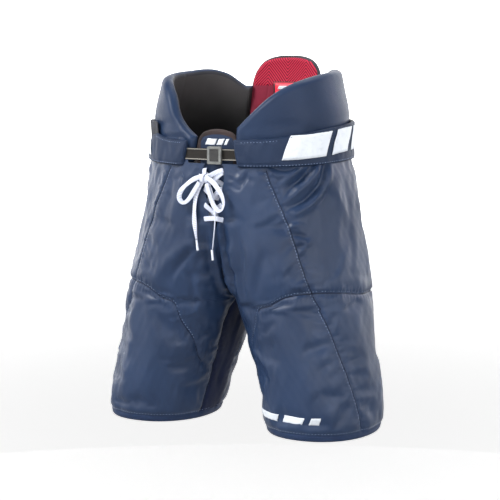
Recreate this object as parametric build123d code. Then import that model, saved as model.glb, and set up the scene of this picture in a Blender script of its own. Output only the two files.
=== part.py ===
from build123d import *
import math
import os

# Ice hockey pants, senior medium, standing on their two leg hems.
# Millimetres. +Z up, front towards -Y, the wearer's left towards +X.
# The origin is on the floor under the middle of the pants.

# ---- driving dimensions ----
LEG_LENGTH = 210.0          # hem to crotch
BELT_Z = 470.0              # middle of the belt line
WING_TOP = 590.0            # top of the hip wings
KIDNEY_TOP = 616.0          # top of the kidney pad
DEPTH_SHIFT = -5.6          # moves every written piece along Y, so that the box is centred

# Layers, measured inwards from the outer face of the shell fabric.
SHELL = (0.0, 1.6)
PLATE = (2.7, 4.9)
FOAM = (6.0, 16.0)
LINER = (17.1, 18.5)
FLY_SHELL = (0.0, 5.0)      # the quilted front panels carry their own thin foam
WING_FOAM = (2.7, 17.8)
WING_LINING = (18.9, 20.4)

# Height, middle of the leg across, middle along Y, half width, half depth.
# Each half of the garment is an oval tube: a leg at the hem, half the waist at the top.
STATIONS = [
    (-12.0, 153.0, -24.0, 89.0, 103.0),
    (20.0, 150.0, -22.0, 91.0, 105.0),
    (60.0, 145.0, -19.0, 93.0, 108.0),
    (130.0, 128.0, -13.0, 98.0, 113.0),
    (LEG_LENGTH, 107.0, -5.0, 106.0, 120.0),
    (280.0, 80.0, -1.0, 121.0, 126.0),
    (350.0, 48.0, 3.0, 140.0, 130.0),
    (420.0, 14.0, 4.0, 162.0, 129.0),
    (BELT_Z, 0.0, 4.0, 169.0, 126.0),
    (520.0, 0.0, 5.0, 170.0, 128.0),
    (560.0, 0.0, 7.0, 160.0, 130.0),
    (WING_TOP, 0.0, 9.0, 153.0, 132.0),
    (640.0, 0.0, 9.0, 144.0, 133.0),
]

LOWER = slice(0, 7)         # the stations of the legs and the folds over the thigh joint
UPPER = slice(3, None)      # the stations of the pelvis, belt and wings

# Thigh joint: the legs swing about a line through both legs at the groin.
HINGE_Y, HINGE_Z = -5.0, 240.0
FRONT_FOLD = 14.5           # degrees cut from each side of the fold, in front
REAR_FOLD = 7.0             # the same, behind
GUSSET_HALF = 9.0           # half the width of the crotch gusset

# Kidney pad flap
KIDNEY_HALF = 73.0
KIDNEY_FOOT_Z = 511.0

# Fly, tongue and lacing
FLY_HALF = 9.0              # half the gap between the two fly edges
FLY_TOP, FLY_BOTTOM = 437.0, 345.0
TONGUE_HALF = 40.0
TONGUE_TOP = 497.0
EYELET_X = 17.0
EYELET_Z = [350.0, 376.0, 402.0, 428.0]
LACE_THICK = 1.6            # radius of the straight crossings
LACE_TUBE = 4.0             # round tube of the flat lace's section area

# Belt
BELT_SLEEVE = (-7.4, -1.1)
WEBBING = (-3.6, -1.8)
WEBBING_WIDTH = 19.0
WEBBING_Z = 456.0
BUCKLE = (25.0, 4.5, 28.5)
BUCKLE_X = 4.0

BIG = 400.0


# ---- helpers ----
def tube(offset, part=UPPER):
    """The left half's outer surface drawn in by offset, as a solid, over some of the stations."""
    rings = [
        Pos(cx, cy, z) * Ellipse(a - offset, b - offset)
        for z, cx, cy, a, b in STATIONS[part]
    ]
    return loft(rings)


def layer(span, part=UPPER):
    """One material layer of the left half, at x above 0.5."""
    wall = tube(span[0], part) - tube(span[1], part)
    low, high = (0.0, 340.0) if part is LOWER else (214.0, 630.0)
    return wall & slab(0.5, BIG, -BIG, BIG, low, high)


def slab(x0, x1, y0, y1, z0, z1):
    """A box between two corners."""
    size = (x1 - x0, y1 - y0, z1 - z0)
    return Pos((x0 + x1) / 2, (y0 + y1) / 2, (z0 + z1) / 2) * Box(*size)


def side_prism(points, x0=-BIG, x1=BIG):
    """A prism along X whose outline is given as (y, z) points."""
    face = make_face(Plane.YZ * Polyline(*points, close=True))
    return Pos(x0, 0, 0) * extrude(face, x1 - x0, dir=(1, 0, 0))


def wedge(centre, start, stop, z0, z1):
    """A vertical prism between two directions from a centre, in degrees from +X."""
    steps = max(2, math.ceil((stop - start) / 40))
    rim = [
        (
            centre[0] + BIG * math.cos(math.radians(start + (stop - start) * i / steps)),
            centre[1] + BIG * math.sin(math.radians(start + (stop - start) * i / steps)),
        )
        for i in range(steps + 1)
    ]
    face = make_face(Polyline(centre, *rim, close=True))
    return Pos(0, 0, z0) * extrude(face, z1 - z0, dir=(0, 0, 1))


def surface_y(x, z, offset=0.0, rear=False):
    """Y of the front (or rear) of the shell at a place, taken from the stations."""
    for low, high in zip(STATIONS, STATIONS[1:]):
        if low[0] <= z <= high[0]:
            t = (z - low[0]) / (high[0] - low[0])
            cx, cy, a, b = [p + (q - p) * t for p, q in zip(low[1:], high[1:])]
    reach = (b - offset) * math.sqrt(1 - ((abs(x) - cx) / (a - offset)) ** 2)
    return cy + (reach if rear else -reach)


def mirrored(shape):
    """The same piece on the wearer's right."""
    return mirror(shape, Plane.YZ)


def save(name, *solids):
    """Write one node."""
    shape = solids[0] if len(solids) == 1 else Compound(children=list(solids))
    export_step(Pos(0, DEPTH_SHIFT, 0) * shape, f"parts/{name}.step")


def save_pair(name, shape):
    """Write a piece for the wearer's left and its mirror image for the right."""
    save(name + "_left", shape)
    save(name + "_right", mirrored(shape))


os.makedirs("parts", exist_ok=True)

# ---- the cuts between pelvis and legs ----
slope_f = math.tan(math.radians(FRONT_FOLD))
slope_r = math.tan(math.radians(REAR_FOLD))
CUT_GAP = 1.8               # from the hinge line to each cut
FOLD_GAP = 0.8              # from the hinge line to the fold panel's edge
FOLD_START = 12.0
DEEP = 200.0


def fold_cut(gap, upper):
    """The cut of the legs (or of the pelvis): two slopes that meet at the hinge line."""
    sign = 1 if upper else -1
    front = (-DEEP, HINGE_Z + sign * (gap + slope_f * (DEEP + HINGE_Y)))
    rear = (DEEP, HINGE_Z + sign * (gap + slope_r * (DEEP - HINGE_Y)))
    far_z = 700.0 if upper else -1.0
    points = [front, (HINGE_Y, HINGE_Z + sign * gap), rear, (DEEP, far_z), (-DEEP, far_z)]
    return side_prism(points, 0.0 if upper else GUSSET_HALF + 1.0, BIG)


def fold_panel(direction, slope):
    """The wedge between the two cuts, in front (direction -1) or behind (+1)."""
    near, far = FOLD_START, DEEP - direction * HINGE_Y
    points = []
    for reach, sign in ((near, -1), (near, 1), (far, 1), (far, -1)):
        points.append((HINGE_Y + direction * reach, HINGE_Z + sign * (FOLD_GAP + slope * reach)))
    return side_prism(points, GUSSET_HALF + 1.0, BIG)


leg_zone = fold_cut(CUT_GAP, upper=False)
pelvis_zone = fold_cut(CUT_GAP, upper=True)
fold_front = fold_panel(-1, slope_f)
fold_rear = fold_panel(1, slope_r)

shell = layer(SHELL)
foam = layer(FOAM)
liner = layer(LINER)
fly_shell = layer(FLY_SHELL)
low_shell = layer(SHELL, LOWER)
low_foam = layer(FOAM, LOWER)
low_liner = layer(LINER, LOWER)
low_plate = layer(PLATE, LOWER)

# ---- legs ----
HEM = 13.0
LEG_AXIS = (128.0, -14.0)
above_hem = slab(0, BIG, -BIG, BIG, HEM + 1.0, 300)

leg_foam = low_foam & leg_zone & above_hem
for name, start, stop in (("front", -142, -46), ("outer", -45, 44), ("rear", 45, 142)):
    piece = leg_foam & wedge(LEG_AXIS, start, stop, 0, 300)
    save_pair(f"thigh_foam_{name}", piece)

leg_shell = low_shell & leg_zone & above_hem
save_pair("thigh_shell_front", leg_shell & wedge(LEG_AXIS, -142.0, -40.5, 0, 300))
save_pair("thigh_shell_outer", leg_shell & wedge(LEG_AXIS, -39.5, 141.4, 0, 300))
inner = layer((0.0, 4.0), LOWER) & leg_zone & above_hem & wedge(LEG_AXIS, 142.4, 217.0, 0, 300)
save_pair("inner_thigh_panel", inner)

plate_cut = low_plate & leg_zone & wedge(LEG_AXIS, -132, 18, 30, 300)
save_pair("thigh_plate", plate_cut & slab(0, BIG, -BIG, BIG, 30, 196))
inner_keep = wedge(LEG_AXIS, -141.6, 141.6, 0, 300)
save_pair("thigh_liner", low_liner & leg_zone & above_hem & inner_keep)
save_pair("leg_hem_band", layer((0.0, 5.0), LOWER) & slab(0, BIG, -BIG, BIG, 0, HEM))

# ---- fold panels over the thigh joint ----
save_pair("groin_stretch_panel", low_shell & fold_front & wedge(LEG_AXIS, -175, -6, 150, 330))
save_pair("seat_stretch_panel", low_shell & fold_rear & wedge(LEG_AXIS, 6, 175, 150, 330))

# ---- crotch gusset: a sling under the middle, front to back ----
sling = [(-97, 281), (-71, 248), (-39, 222), (-1, 212.5), (37, 221), (65, 243), (89, 270)]
outer = Plane.YZ * Spline(*sling)
inner_line = Plane.YZ * Spline(*[(y * 0.965, z + 3.0) for y, z in sling])
ends = [Line(outer @ t, inner_line @ t) for t in (0, 1)]
gusset = extrude(make_face([outer, inner_line, *ends]), GUSSET_HALF, both=True, dir=(1, 0, 0))
save("crotch_gusset", gusset)

# ---- pelvis ----
SHELL_TOP = 506.0
pelvis_shell = shell & pelvis_zone
behind_gusset = slab(GUSSET_HALF + 0.6, BIG, -BIG, BIG, 200, 290) + slab(0, BIG, -BIG, BIG, 290, 700)

front_cut = wedge((60, 0), -175, -52, 255, FLY_TOP) - slab(-1, FLY_HALF, -BIG, 0, FLY_BOTTOM, 700)
save_pair("front_panel", fly_shell & pelvis_zone & behind_gusset & front_cut)
side_cut = wedge((60, 0), -51.3, 51.3, 240, SHELL_TOP)
save_pair("side_panel", pelvis_shell & side_cut)

seat_cut = wedge((60, 0), 52, 175, 240, SHELL_TOP) & behind_gusset
seat_half = pelvis_shell & seat_cut
save("seat_panel", seat_half, mirrored(seat_half))

HIP_SPLIT = 438.0
hip_foam = foam & pelvis_zone & wedge((60, 0), -50, 50, 240, HIP_SPLIT)
save_pair("hip_foam", hip_foam)
rear_foam = foam & pelvis_zone & behind_gusset & wedge((60, 0), 51, 175, 240, SHELL_TOP)
FOAM_SPLIT = 352.0          # where the tailbone foam ends and the spine foam begins
tailbone = rear_foam & slab(0, BIG, -BIG, BIG, 240, FOAM_SPLIT)
save("tailbone_foam", tailbone, mirrored(tailbone))
above_split = FOAM_SPLIT + 1
between_wings = slab(0, KIDNEY_HALF, -BIG, BIG, above_split, SHELL_TOP)
spine = rear_foam & (between_wings + slab(0, BIG, -BIG, BIG, above_split, HIP_SPLIT))
save("spine_foam", spine, mirrored(spine))

waist_liner = liner & pelvis_zone & behind_gusset & slab(0, BIG, -BIG, BIG, 255, HIP_SPLIT)
waist_liner = waist_liner & wedge((60, 0), -60, 175, 240, 500)
save("waist_liner", waist_liner, mirrored(waist_liner))

# ---- hip wings, from the belt line up ----
wing_line = Spline(
    (-127, 438), (-124.5, 478), (-117, 513), (-100, 549), (-57, 577), (-10, 586),
    (40, 590), (92, 589), (112, 577), (128, 554),
)
outline = Plane.YZ * wing_line
wing_face = make_face([
    outline,
    Line(outline @ 1, Vector(0, 160, 554)),
    Line(Vector(0, 160, 554), Vector(0, 160, 438)),
    Line(Vector(0, 160, 438), outline @ 0),
])
wing_zone = extrude(wing_face, BIG, dir=(1, 0, 0)) & slab(44, BIG, -BIG, BIG, HIP_SPLIT + 1, 620)
rear_end = slab(0, KIDNEY_HALF + 2.0, 0, BIG, 430, 640)
wing_zone = wing_zone - rear_end
above_belt = slab(0, BIG, -BIG, BIG, SHELL_TOP + 1, 640)
above_belt = above_belt + slab(0, BIG, -BIG, -60, HIP_SPLIT + 1, 640)
wing_skin_zone = (wing_zone & above_belt) - wedge((60, 0), -52.4, 52.4, 240, SHELL_TOP + 1)
save_pair("wing_cover", shell & wing_skin_zone)
save_pair("wing_foam", layer(WING_FOAM) & wing_zone)
save_pair("wing_lining", layer(WING_LINING) & wing_zone)

# ---- kidney pad: a flap above the belt line, behind ----
dome_line = Spline((KIDNEY_HALF, 560), (66, 585), (48, 605), (22, 614.5), (0, KIDNEY_TOP),
                   (-22, 614.5), (-48, 605), (-66, 585), (-KIDNEY_HALF, 560))
dome = Plane.XZ * dome_line
dome_face = make_face([
    dome,
    Line(dome @ 1, Vector(-KIDNEY_HALF, 0, KIDNEY_FOOT_Z)),
    Line(Vector(-KIDNEY_HALF, 0, KIDNEY_FOOT_Z), Vector(KIDNEY_HALF, 0, KIDNEY_FOOT_Z)),
    Line(Vector(KIDNEY_HALF, 0, KIDNEY_FOOT_Z), dome @ 0),
])
kidney_zone = extrude(dome_face, BIG, dir=(0, 1, 0))


def kidney_layer(span):
    """A layer of the rear wall, across the middle, inside the kidney pad's outline."""
    wall = tube(span[0]) - tube(span[1])
    return wall & kidney_zone & slab(-BIG, BIG, 20, BIG, 0, 639)


save("kidney_cover", kidney_layer(SHELL))
save("kidney_foam", kidney_layer((2.7, 14.8)))
save("kidney_lining", kidney_layer((15.9, 18.0)))
label_y = surface_y(22, 558, 18.6, rear=True)
save("kidney_label", Pos(0, label_y - 2.6, 556) * Rot(-3, 0, 0) * Box(44, 1.2, 28))

# ---- fly tongue ----
tongue_arc = [(TONGUE_HALF, 470), (30, 489), (0, TONGUE_TOP), (-30, 489), (-TONGUE_HALF, 470)]
tongue_line = Plane.XZ * Spline(*tongue_arc)
tongue_face = make_face([
    tongue_line,
    Line(tongue_line @ 1, Vector(-TONGUE_HALF + 8, 0, 352)),
    Line(Vector(-TONGUE_HALF + 8, 0, 352), Vector(TONGUE_HALF - 8, 0, 352)),
    Line(Vector(TONGUE_HALF - 8, 0, 352), tongue_line @ 0),
])
tongue_zone = extrude(tongue_face, BIG, dir=(0, -1, 0))
tongue_half = (tube(7.0) - tube(15.0)) & tongue_zone & slab(0, BIG, -BIG, 0, 300, 600)
save("fly_tongue", tongue_half + mirrored(tongue_half))

# ---- eyelets and lacing ----
eyelets = []
for z in EYELET_Z:
    for side in (-1, 1):
        y = surface_y(EYELET_X, z)
        ring = Cylinder(4.6, 1.2) - Cylinder(2.4, 3.0)
        eyelets.append(Pos(side * EYELET_X, y - 1.0, z) * Rot(90, 0, 0) * ring)
save("lace_eyelets", *eyelets)


def lace_run(x0, z0, x1, z1, lift):
    """A straight length of lace between two places on the front."""
    start = Vector(x0, surface_y(x0, z0) - lift, z0)
    end = Vector(x1, surface_y(x1, z1) - lift, z1)
    path = Line(start, end)
    return sweep(Plane(start, z_dir=path % 0) * Circle(LACE_THICK), path)


runs = [lace_run(-EYELET_X, EYELET_Z[0], EYELET_X, EYELET_Z[0], 3.6)]
for low, high in zip(EYELET_Z[:-1], EYELET_Z[1:]):
    runs.append(lace_run(-EYELET_X + 3, low + 5, EYELET_X - 3, high - 5, 3.6))
    runs.append(lace_run(EYELET_X - 3, low + 5, -EYELET_X + 3, high - 5, 7.2))
save("fly_lacing", *runs)

KNOT = (-12.0, surface_y(12, 418) - 11.0, 418.0)
save("lace_knot", Pos(*KNOT) * (Rot(0, 20, 0) * Box(13, 8, 12)))


def lace(name, points):
    """A hanging stretch of lace along straight runs with wide tangent corners."""
    path_points = [Vector(*p) for p in points]
    legs = [b - a for a, b in zip(path_points, path_points[1:])]
    radii = []
    for before, after in zip(legs, legs[1:]):
        turn = math.radians(before.get_angle(after))
        radii.append(0.45 * min(before.length, after.length) / math.tan(turn / 2))
    path = FilletPolyline(*path_points, radius=radii)
    section = Plane(path @ 0, z_dir=path % 0) * Circle(LACE_TUBE / 2)
    solid = sweep(section, path)
    expected = math.pi * LACE_TUBE ** 2 / 4 * path.length
    print(name, "length", round(path.length, 1), "radii", [round(r, 1) for r in radii],
          "volume ratio", round(solid.volume / expected, 4))
    save(name, solid)


lace("lace_loop_right", [
    (-16, -137, 420), (-27, -139, 418), (-41, -140.5, 408), (-53, -141, 397),
    (-57, -141, 384), (-49, -140, 375), (-39, -139, 382), (-29, -138.5, 397), (-20, -137.5, 411),
])
lace("lace_loop_left", [
    (-8, -138, 419), (4, -141, 416), (16, -143, 405), (26, -143.5, 391),
    (29, -143, 375), (21, -142, 364), (10, -141.5, 372), (2, -140.5, 388), (-6, -138.5, 409),
])
lace("lace_tail_right", [
    (-15, -133.5, 414), (-22, -134.5, 405), (-29, -135, 386), (-31.5, -134.5, 362),
    (-31.5, -133, 339), (-29, -131.5, 317),
])
lace("lace_tail_left", [
    (-10, -133.5, 414), (-2, -135, 403), (5, -136, 386), (8.5, -136, 366),
    (7.5, -135, 344), (4, -133, 322), (1, -131.5, 303),
])
aglets = [
    Pos(-28.2, -130.7, 307.5) * Rot(4, -5, 0) * Cylinder(1.8, 17),
    Pos(0.2, -130.6, 293.0) * Rot(4, -3, 0) * Cylinder(1.8, 17),
]
save("lace_aglet_right", aglets[0])
save("lace_aglet_left", aglets[1])

# ---- belt: fabric sleeves, webbing, buckle ----
sleeve_zone = side_prism([
    (-150, 435), (-90, 438), (30, 445), (160, 447), (160, 511), (40, 509),
    (-60, 505), (-80, 495), (-115, 480), (-150, 479),
])
belt_wall = tube(BELT_SLEEVE[0]) - tube(BELT_SLEEVE[1])
left_sleeve = belt_wall & sleeve_zone & slab(37, BIG, -BIG, 0, 400, 560)
left_sleeve = left_sleeve + (belt_wall & sleeve_zone & slab(0.6, BIG, 0, BIG, 400, 560))
save("belt_sleeve_left", left_sleeve)
right_sleeve = belt_wall & sleeve_zone & slab(51, BIG, -BIG, 0, 400, 560)
right_sleeve = right_sleeve + (belt_wall & sleeve_zone & slab(0.6, BIG, 0, BIG, 400, 560))
mesh_zone = side_prism([(-88, 493), (-60, 478), (-22, 484), (-22, 520), (-88, 520)])
right_sleeve = mirrored(right_sleeve)
belt_mesh = right_sleeve & mesh_zone
gap_zone = side_prism([(-89, 493), (-60, 477.2), (-21, 483.2), (-21, 520), (-89, 520)])
save("belt_sleeve_right", right_sleeve - gap_zone)
save("belt_side_mesh", belt_mesh)

half = WEBBING_WIDTH / 2
strap_wall = tube(WEBBING[0]) - tube(WEBBING[1])
strap_left = strap_wall & slab(14.5, 36.4, -BIG, 0, WEBBING_Z - half, WEBBING_Z + half)
strap_right = mirrored(strap_wall & slab(0, 50.4, -BIG, 0, WEBBING_Z - half, WEBBING_Z + half))
strap_right = strap_right + (strap_wall & slab(0, 13.5, -BIG, 0, WEBBING_Z - half, WEBBING_Z + half))
save("belt_strap_left", strap_left)
save("belt_strap_right", strap_right)

buckle_y = surface_y(0, WEBBING_Z, WEBBING[0]) - 0.8 - BUCKLE[1] / 2
border = 4.2
frame = fillet(Box(*BUCKLE).edges().filter_by(Axis.Y), 2.5)
window = Box(BUCKLE[0] - 2 * border, 20, BUCKLE[2] - 2 * border)
bar = Pos(0, 1.2, 0) * Box(2.6, 2.0, BUCKLE[2] - 2 * border + 2)
save("belt_buckle_frame", Pos(BUCKLE_X, buckle_y, WEBBING_Z - 1) * (frame - window + bar))
plate_width = (BUCKLE[0] - 2 * border) - 1.2
flap = Box(plate_width, 1.6, BUCKLE[2] - 2 * border - 1.2)
save("belt_buckle_plate", Pos(BUCKLE_X, buckle_y - 1.2, WEBBING_Z - 1) * flap)
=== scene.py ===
import math

import bmesh
import bpy
import numpy as np
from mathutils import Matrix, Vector


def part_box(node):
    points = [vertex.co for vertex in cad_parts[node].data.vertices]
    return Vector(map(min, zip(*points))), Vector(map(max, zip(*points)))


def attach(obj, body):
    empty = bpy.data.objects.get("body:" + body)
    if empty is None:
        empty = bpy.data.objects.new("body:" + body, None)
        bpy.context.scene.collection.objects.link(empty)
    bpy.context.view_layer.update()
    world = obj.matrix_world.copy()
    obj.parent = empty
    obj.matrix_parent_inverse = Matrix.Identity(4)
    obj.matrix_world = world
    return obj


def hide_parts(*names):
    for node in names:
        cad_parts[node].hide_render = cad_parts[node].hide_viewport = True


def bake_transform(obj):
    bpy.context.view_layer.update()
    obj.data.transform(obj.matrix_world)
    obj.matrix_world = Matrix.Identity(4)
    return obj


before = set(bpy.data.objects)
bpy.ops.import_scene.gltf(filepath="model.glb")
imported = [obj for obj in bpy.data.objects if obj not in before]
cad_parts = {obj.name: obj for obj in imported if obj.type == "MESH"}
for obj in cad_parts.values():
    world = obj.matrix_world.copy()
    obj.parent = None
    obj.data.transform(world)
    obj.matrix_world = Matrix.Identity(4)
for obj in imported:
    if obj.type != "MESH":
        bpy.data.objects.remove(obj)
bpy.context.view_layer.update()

# Ice hockey pants. Metres, +Z up, front towards -Y, the wearer's left towards +X.
MM = 0.001
SIDES = {"left": 1.0, "right": -1.0}

# ---- driving sizes, in millimetres ----
SHIFT_Y = -5.6              # the middle of the garment's box along Y
ROUND = 2.15                # how square each oval section is; 2 is a true ellipse
STATIONS = np.array([       # height, middle across, middle along Y, half width, half depth
    (-12, 153, -24, 89, 103), (20, 150, -22, 91, 105), (60, 145, -19, 93, 108),
    (130, 128, -13, 98, 113), (210, 107, -5, 106, 120), (280, 80, -1, 121, 126),
    (350, 48, 3, 140, 130), (420, 14, 4, 162, 129), (470, 0, 4, 169, 126),
    (520, 0, 5, 170, 128), (560, 0, 7, 160, 130), (590, 0, 9, 153, 132), (640, 0, 9, 144, 133),
], float)
HEM_BAND = 12.0
CROTCH_Z = 212.0
FLY_HALF, FLY_BOTTOM = 9.0, 346.0
FRONT_TOP, SIDE_TOP = 441.0, 482.0
LINER_DEPTH = 16.5
CLOTH_FRAMES = 20
CLOTH_CAP = 3.2             # how far the settled cloth may move, in millimetres


def add_object(name, data):
    obj = bpy.data.objects.new(name, data)
    bpy.context.scene.collection.objects.link(obj)
    return obj


def aim(obj, direction):
    """Turns a camera or light so that it looks along a direction."""
    obj.rotation_mode = "QUATERNION"
    obj.rotation_quaternion = direction.to_track_quat("-Z", "Y")


def smooth(mesh):
    for face in mesh.polygons:
        face.use_smooth = True


# ================= camera, light and floor =================
AZIMUTH, ELEVATION, DISTANCE = 28.0, 7.0, 2.6
TARGET = Vector((0.0, SHIFT_Y * MM, 0.287))


def make_camera():
    a, e = math.radians(AZIMUTH), math.radians(ELEVATION)
    back = Vector((math.sin(a) * math.cos(e), -math.cos(a) * math.cos(e), math.sin(e)))
    data = bpy.data.cameras.new("camera")
    data.lens = 110.1
    data.sensor_width = 36.0
    camera = add_object("camera", data)
    camera.location = TARGET + back * DISTANCE
    aim(camera, -back)
    bpy.context.scene.camera = camera


def make_light(name, place, size, power, colour=(1, 1, 1)):
    data = bpy.data.lights.new(name, "AREA")
    data.shape = "RECTANGLE"
    data.size, data.size_y = size
    data.energy = power
    data.color = colour
    light = add_object(name, data)
    light.location = place
    aim(light, TARGET - Vector(place))


def make_studio():
    make_light("key", (-1.3, -1.9, 2.5), (0.8, 0.8), 140)
    make_light("fill", (2.4, -1.4, 1.2), (1.0, 1.6), 18)
    make_light("top", (0.1, 0.7, 2.4), (1.6, 1.0), 30)
    make_light("rim", (1.5, 2.0, 1.3), (0.5, 1.4), 6, (0.86, 0.76, 1.0))
    world = bpy.data.worlds.new("studio")
    bpy.context.scene.world = world
    world.use_nodes = True
    backdrop = world.node_tree.nodes["Background"]
    backdrop.inputs["Color"].default_value = (1, 1, 1, 1)
    backdrop.inputs["Strength"].default_value = 0.3
    bpy.context.scene.view_settings.view_transform = "Standard"


FLOOR_GAP = 0.0006          # how far the floor lies under the hems, in metres


def make_floor():
    """A pale floor that curves up into a backdrop all round, like a studio sweep."""
    flat, rise, height = 3.0, 1.2, 3.5
    profile = [(0.0, 0.0), (flat, 0.0)]
    for step in range(1, 9):
        turn = math.radians(90 * step / 8)
        profile.append((flat + rise * math.sin(turn), rise * (1 - math.cos(turn))))
    profile.append((flat + rise, height))
    segments = 64
    mesh = bmesh.new()
    rings = []
    for radius, z in profile[1:]:
        ring = []
        for k in range(segments):
            turn = 2 * math.pi * k / segments
            spot = (radius * math.cos(turn), radius * math.sin(turn), z - FLOOR_GAP)
            ring.append(mesh.verts.new(spot))
        rings.append(ring)
    mesh.faces.new(rings[0])
    for low, high in zip(rings, rings[1:]):
        for k in range(segments):
            j = (k + 1) % segments
            mesh.faces.new((low[k], low[j], high[j], high[k]))
    data = bpy.data.meshes.new("studio_floor")
    mesh.to_mesh(data)
    mesh.free()
    smooth(data)
    floor = add_object("studio_floor", data)
    data.materials.append(pale_paper())


# ================= materials =================
def srgb(red, green, blue):
    """A display colour, 0 to 255, as the linear value that a shader takes."""
    values = []
    for part in (red, green, blue):
        part = part / 255
        values.append(part / 12.92 if part <= 0.04045 else ((part + 0.055) / 1.055) ** 2.4)
    return (*values, 1.0)


class Finish:
    """A procedural material built step by step on one Principled shader."""

    def __init__(self, name, colour, roughness, sheen=0.0, specular=0.5):
        self.material = bpy.data.materials.new(name)
        self.material.use_nodes = True
        self.tree = self.material.node_tree
        self.shader = self.tree.nodes["Principled BSDF"]
        self.shader.inputs["Base Color"].default_value = colour
        self.shader.inputs["Roughness"].default_value = roughness
        self.shader.inputs["Sheen Weight"].default_value = sheen
        self.shader.inputs["Sheen Roughness"].default_value = 0.4
        self.shader.inputs["Specular IOR Level"].default_value = specular
        self.bump = None

    def node(self, kind, **inputs):
        made = self.tree.nodes.new(kind)
        for key, value in inputs.items():
            made.inputs[key.replace("_", " ")].default_value = value
        return made

    def link(self, out, into):
        self.tree.links.new(out, into)

    def math(self, kind, value, amount):
        step = self.node("ShaderNodeMath")
        step.operation = kind
        self.link(value, step.inputs[0])
        if isinstance(amount, float):
            step.inputs[1].default_value = amount
        else:
            self.link(amount, step.inputs[1])
        return step.outputs[0]

    def place(self, kind="Object"):
        return self.node("ShaderNodeTexCoord").outputs[kind]

    def noise(self, scale, detail=3.0):
        texture = self.node("ShaderNodeTexNoise", Scale=scale, Detail=detail)
        self.link(self.place(), texture.inputs["Vector"])
        return texture.outputs["Fac"]

    def wave(self, scale, direction, kind="UV", distortion=0.0, turn=0.0):
        texture = self.node("ShaderNodeTexWave", Scale=scale, Distortion=distortion)
        texture.bands_direction = direction
        source = self.place(kind)
        if turn:
            mapping = self.node("ShaderNodeMapping", Rotation=(0, 0, turn))
            self.link(source, mapping.inputs["Vector"])
            source = mapping.outputs["Vector"]
        self.link(source, texture.inputs["Vector"])
        return texture.outputs["Fac"]

    def tint(self, factor, low, high, span=(0.3, 0.7)):
        """Colour that varies between two shades with a factor."""
        ramp = self.node("ShaderNodeValToRGB")
        ramp.color_ramp.elements[0].position = span[0]
        ramp.color_ramp.elements[1].position = span[1]
        ramp.color_ramp.elements[0].color = low
        ramp.color_ramp.elements[1].color = high
        self.link(factor, ramp.inputs["Fac"])
        self.link(ramp.outputs["Color"], self.shader.inputs["Base Color"])

    def rough(self, factor, low, high):
        spread = self.node("ShaderNodeMapRange", To_Min=low, To_Max=high)
        self.link(factor, spread.inputs["Value"])
        self.link(spread.outputs["Result"], self.shader.inputs["Roughness"])

    def relief(self, factor, strength, depth):
        """One more layer of bump, depth in metres."""
        bump = self.node("ShaderNodeBump", Strength=strength, Distance=depth)
        self.link(factor, bump.inputs["Height"])
        if self.bump is not None:
            self.link(self.bump.outputs["Normal"], bump.inputs["Normal"])
        self.link(bump.outputs["Normal"], self.shader.inputs["Normal"])
        self.bump = bump

    def knit(self):
        """Fine wales over a fuzzy face."""
        self.relief(self.wave(260.0, "X", distortion=0.6), 0.3, 0.0004)
        self.relief(self.noise(500.0, 2.0), 0.4, 0.0003)


def pale_paper():
    f = Finish("pale_paper", srgb(250, 250, 250), 0.9)
    f.tint(f.noise(3.0), srgb(247, 247, 247), srgb(253, 253, 253))
    f.shader.inputs["Emission Color"].default_value = (1, 1, 1, 1)
    f.shader.inputs["Emission Strength"].default_value = 0.9
    return f.material


def woven_nylon(name, dark, light, roughness=0.4, specular=0.12):
    """Tightly woven, faintly shiny nylon, with a slow change of tone."""
    f = Finish(name, dark, roughness, 0.0, specular)
    f.tint(f.noise(9.0, 4.0), dark, light)
    f.rough(f.noise(40.0, 4.0), roughness - 0.07, roughness + 0.1)
    f.relief(f.noise(70.0, 5.0), 0.25, 0.0012)
    f.relief(f.wave(420.0, "X"), 0.10, 0.0002)
    f.relief(f.wave(420.0, "Y"), 0.10, 0.0002)
    return f.material


def knitted_lining(name, dark, light, roughness=0.85):
    """Matt brushed knit: fine wales across a soft blotchy tone."""
    f = Finish(name, dark, roughness, 0.05, 0.25)
    f.tint(f.noise(14.0, 5.0), dark, light)
    f.knit()
    return f.material


def red_knit(middle, pitch, peak, lean):
    """Red ribbed mesh: slanting ribs that meet in chevrons, all sizes in metres."""
    f = Finish("red_knit", srgb(130, 20, 42), 0.75, 0.0, 0.15)
    split = f.node("ShaderNodeSeparateXYZ")
    f.link(f.place(), split.inputs["Vector"])
    value = split.outputs["X"]
    for kind, amount in (("SUBTRACT", middle), ("ABSOLUTE", 0.0), ("SUBTRACT", peak),
                         ("ABSOLUTE", 0.0), ("MULTIPLY", lean)):
        value = f.math(kind, value, amount)
    rise = f.math("ADD", split.outputs["Z"], value)
    rise = f.math("DIVIDE", rise, pitch)
    rib = f.math("PINGPONG", rise, 0.5)
    # painted shade and painted highlight: dark in the channels between the ribs and light on their
    # crests, in step with the ribs' relief
    f.tint(rib, srgb(70, 5, 20), srgb(158, 30, 54), (0.12, 0.34))
    cells = f.node("ShaderNodeTexVoronoi", Scale=620.0)
    f.link(f.place(), cells.inputs["Vector"])
    f.relief(cells.outputs["Distance"], 0.4, 0.0004)
    return f.material


def wing_knit_painted_shade():
    """The wings' lining: charcoal knit, darker towards the wing's foot and lighter near its top:
    painted shade, for light that falls in only through the open top.
    """
    f = Finish("wing_lining_knit", srgb(18, 18, 20), 0.85, 0.0, 0.2)
    split = f.node("ShaderNodeSeparateXYZ")
    f.link(f.place(), split.inputs["Vector"])
    blotch = f.math("MULTIPLY", f.noise(12.0, 4.0), 0.05)
    # painted shade: the tone rises with height, dark deep inside the wing and lighter at its open
    # top
    f.tint(f.math("ADD", split.outputs["Z"], blotch), srgb(9, 9, 10), srgb(58, 56, 57),
           (0.525, 0.615))
    f.knit()
    return f.material


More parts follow.
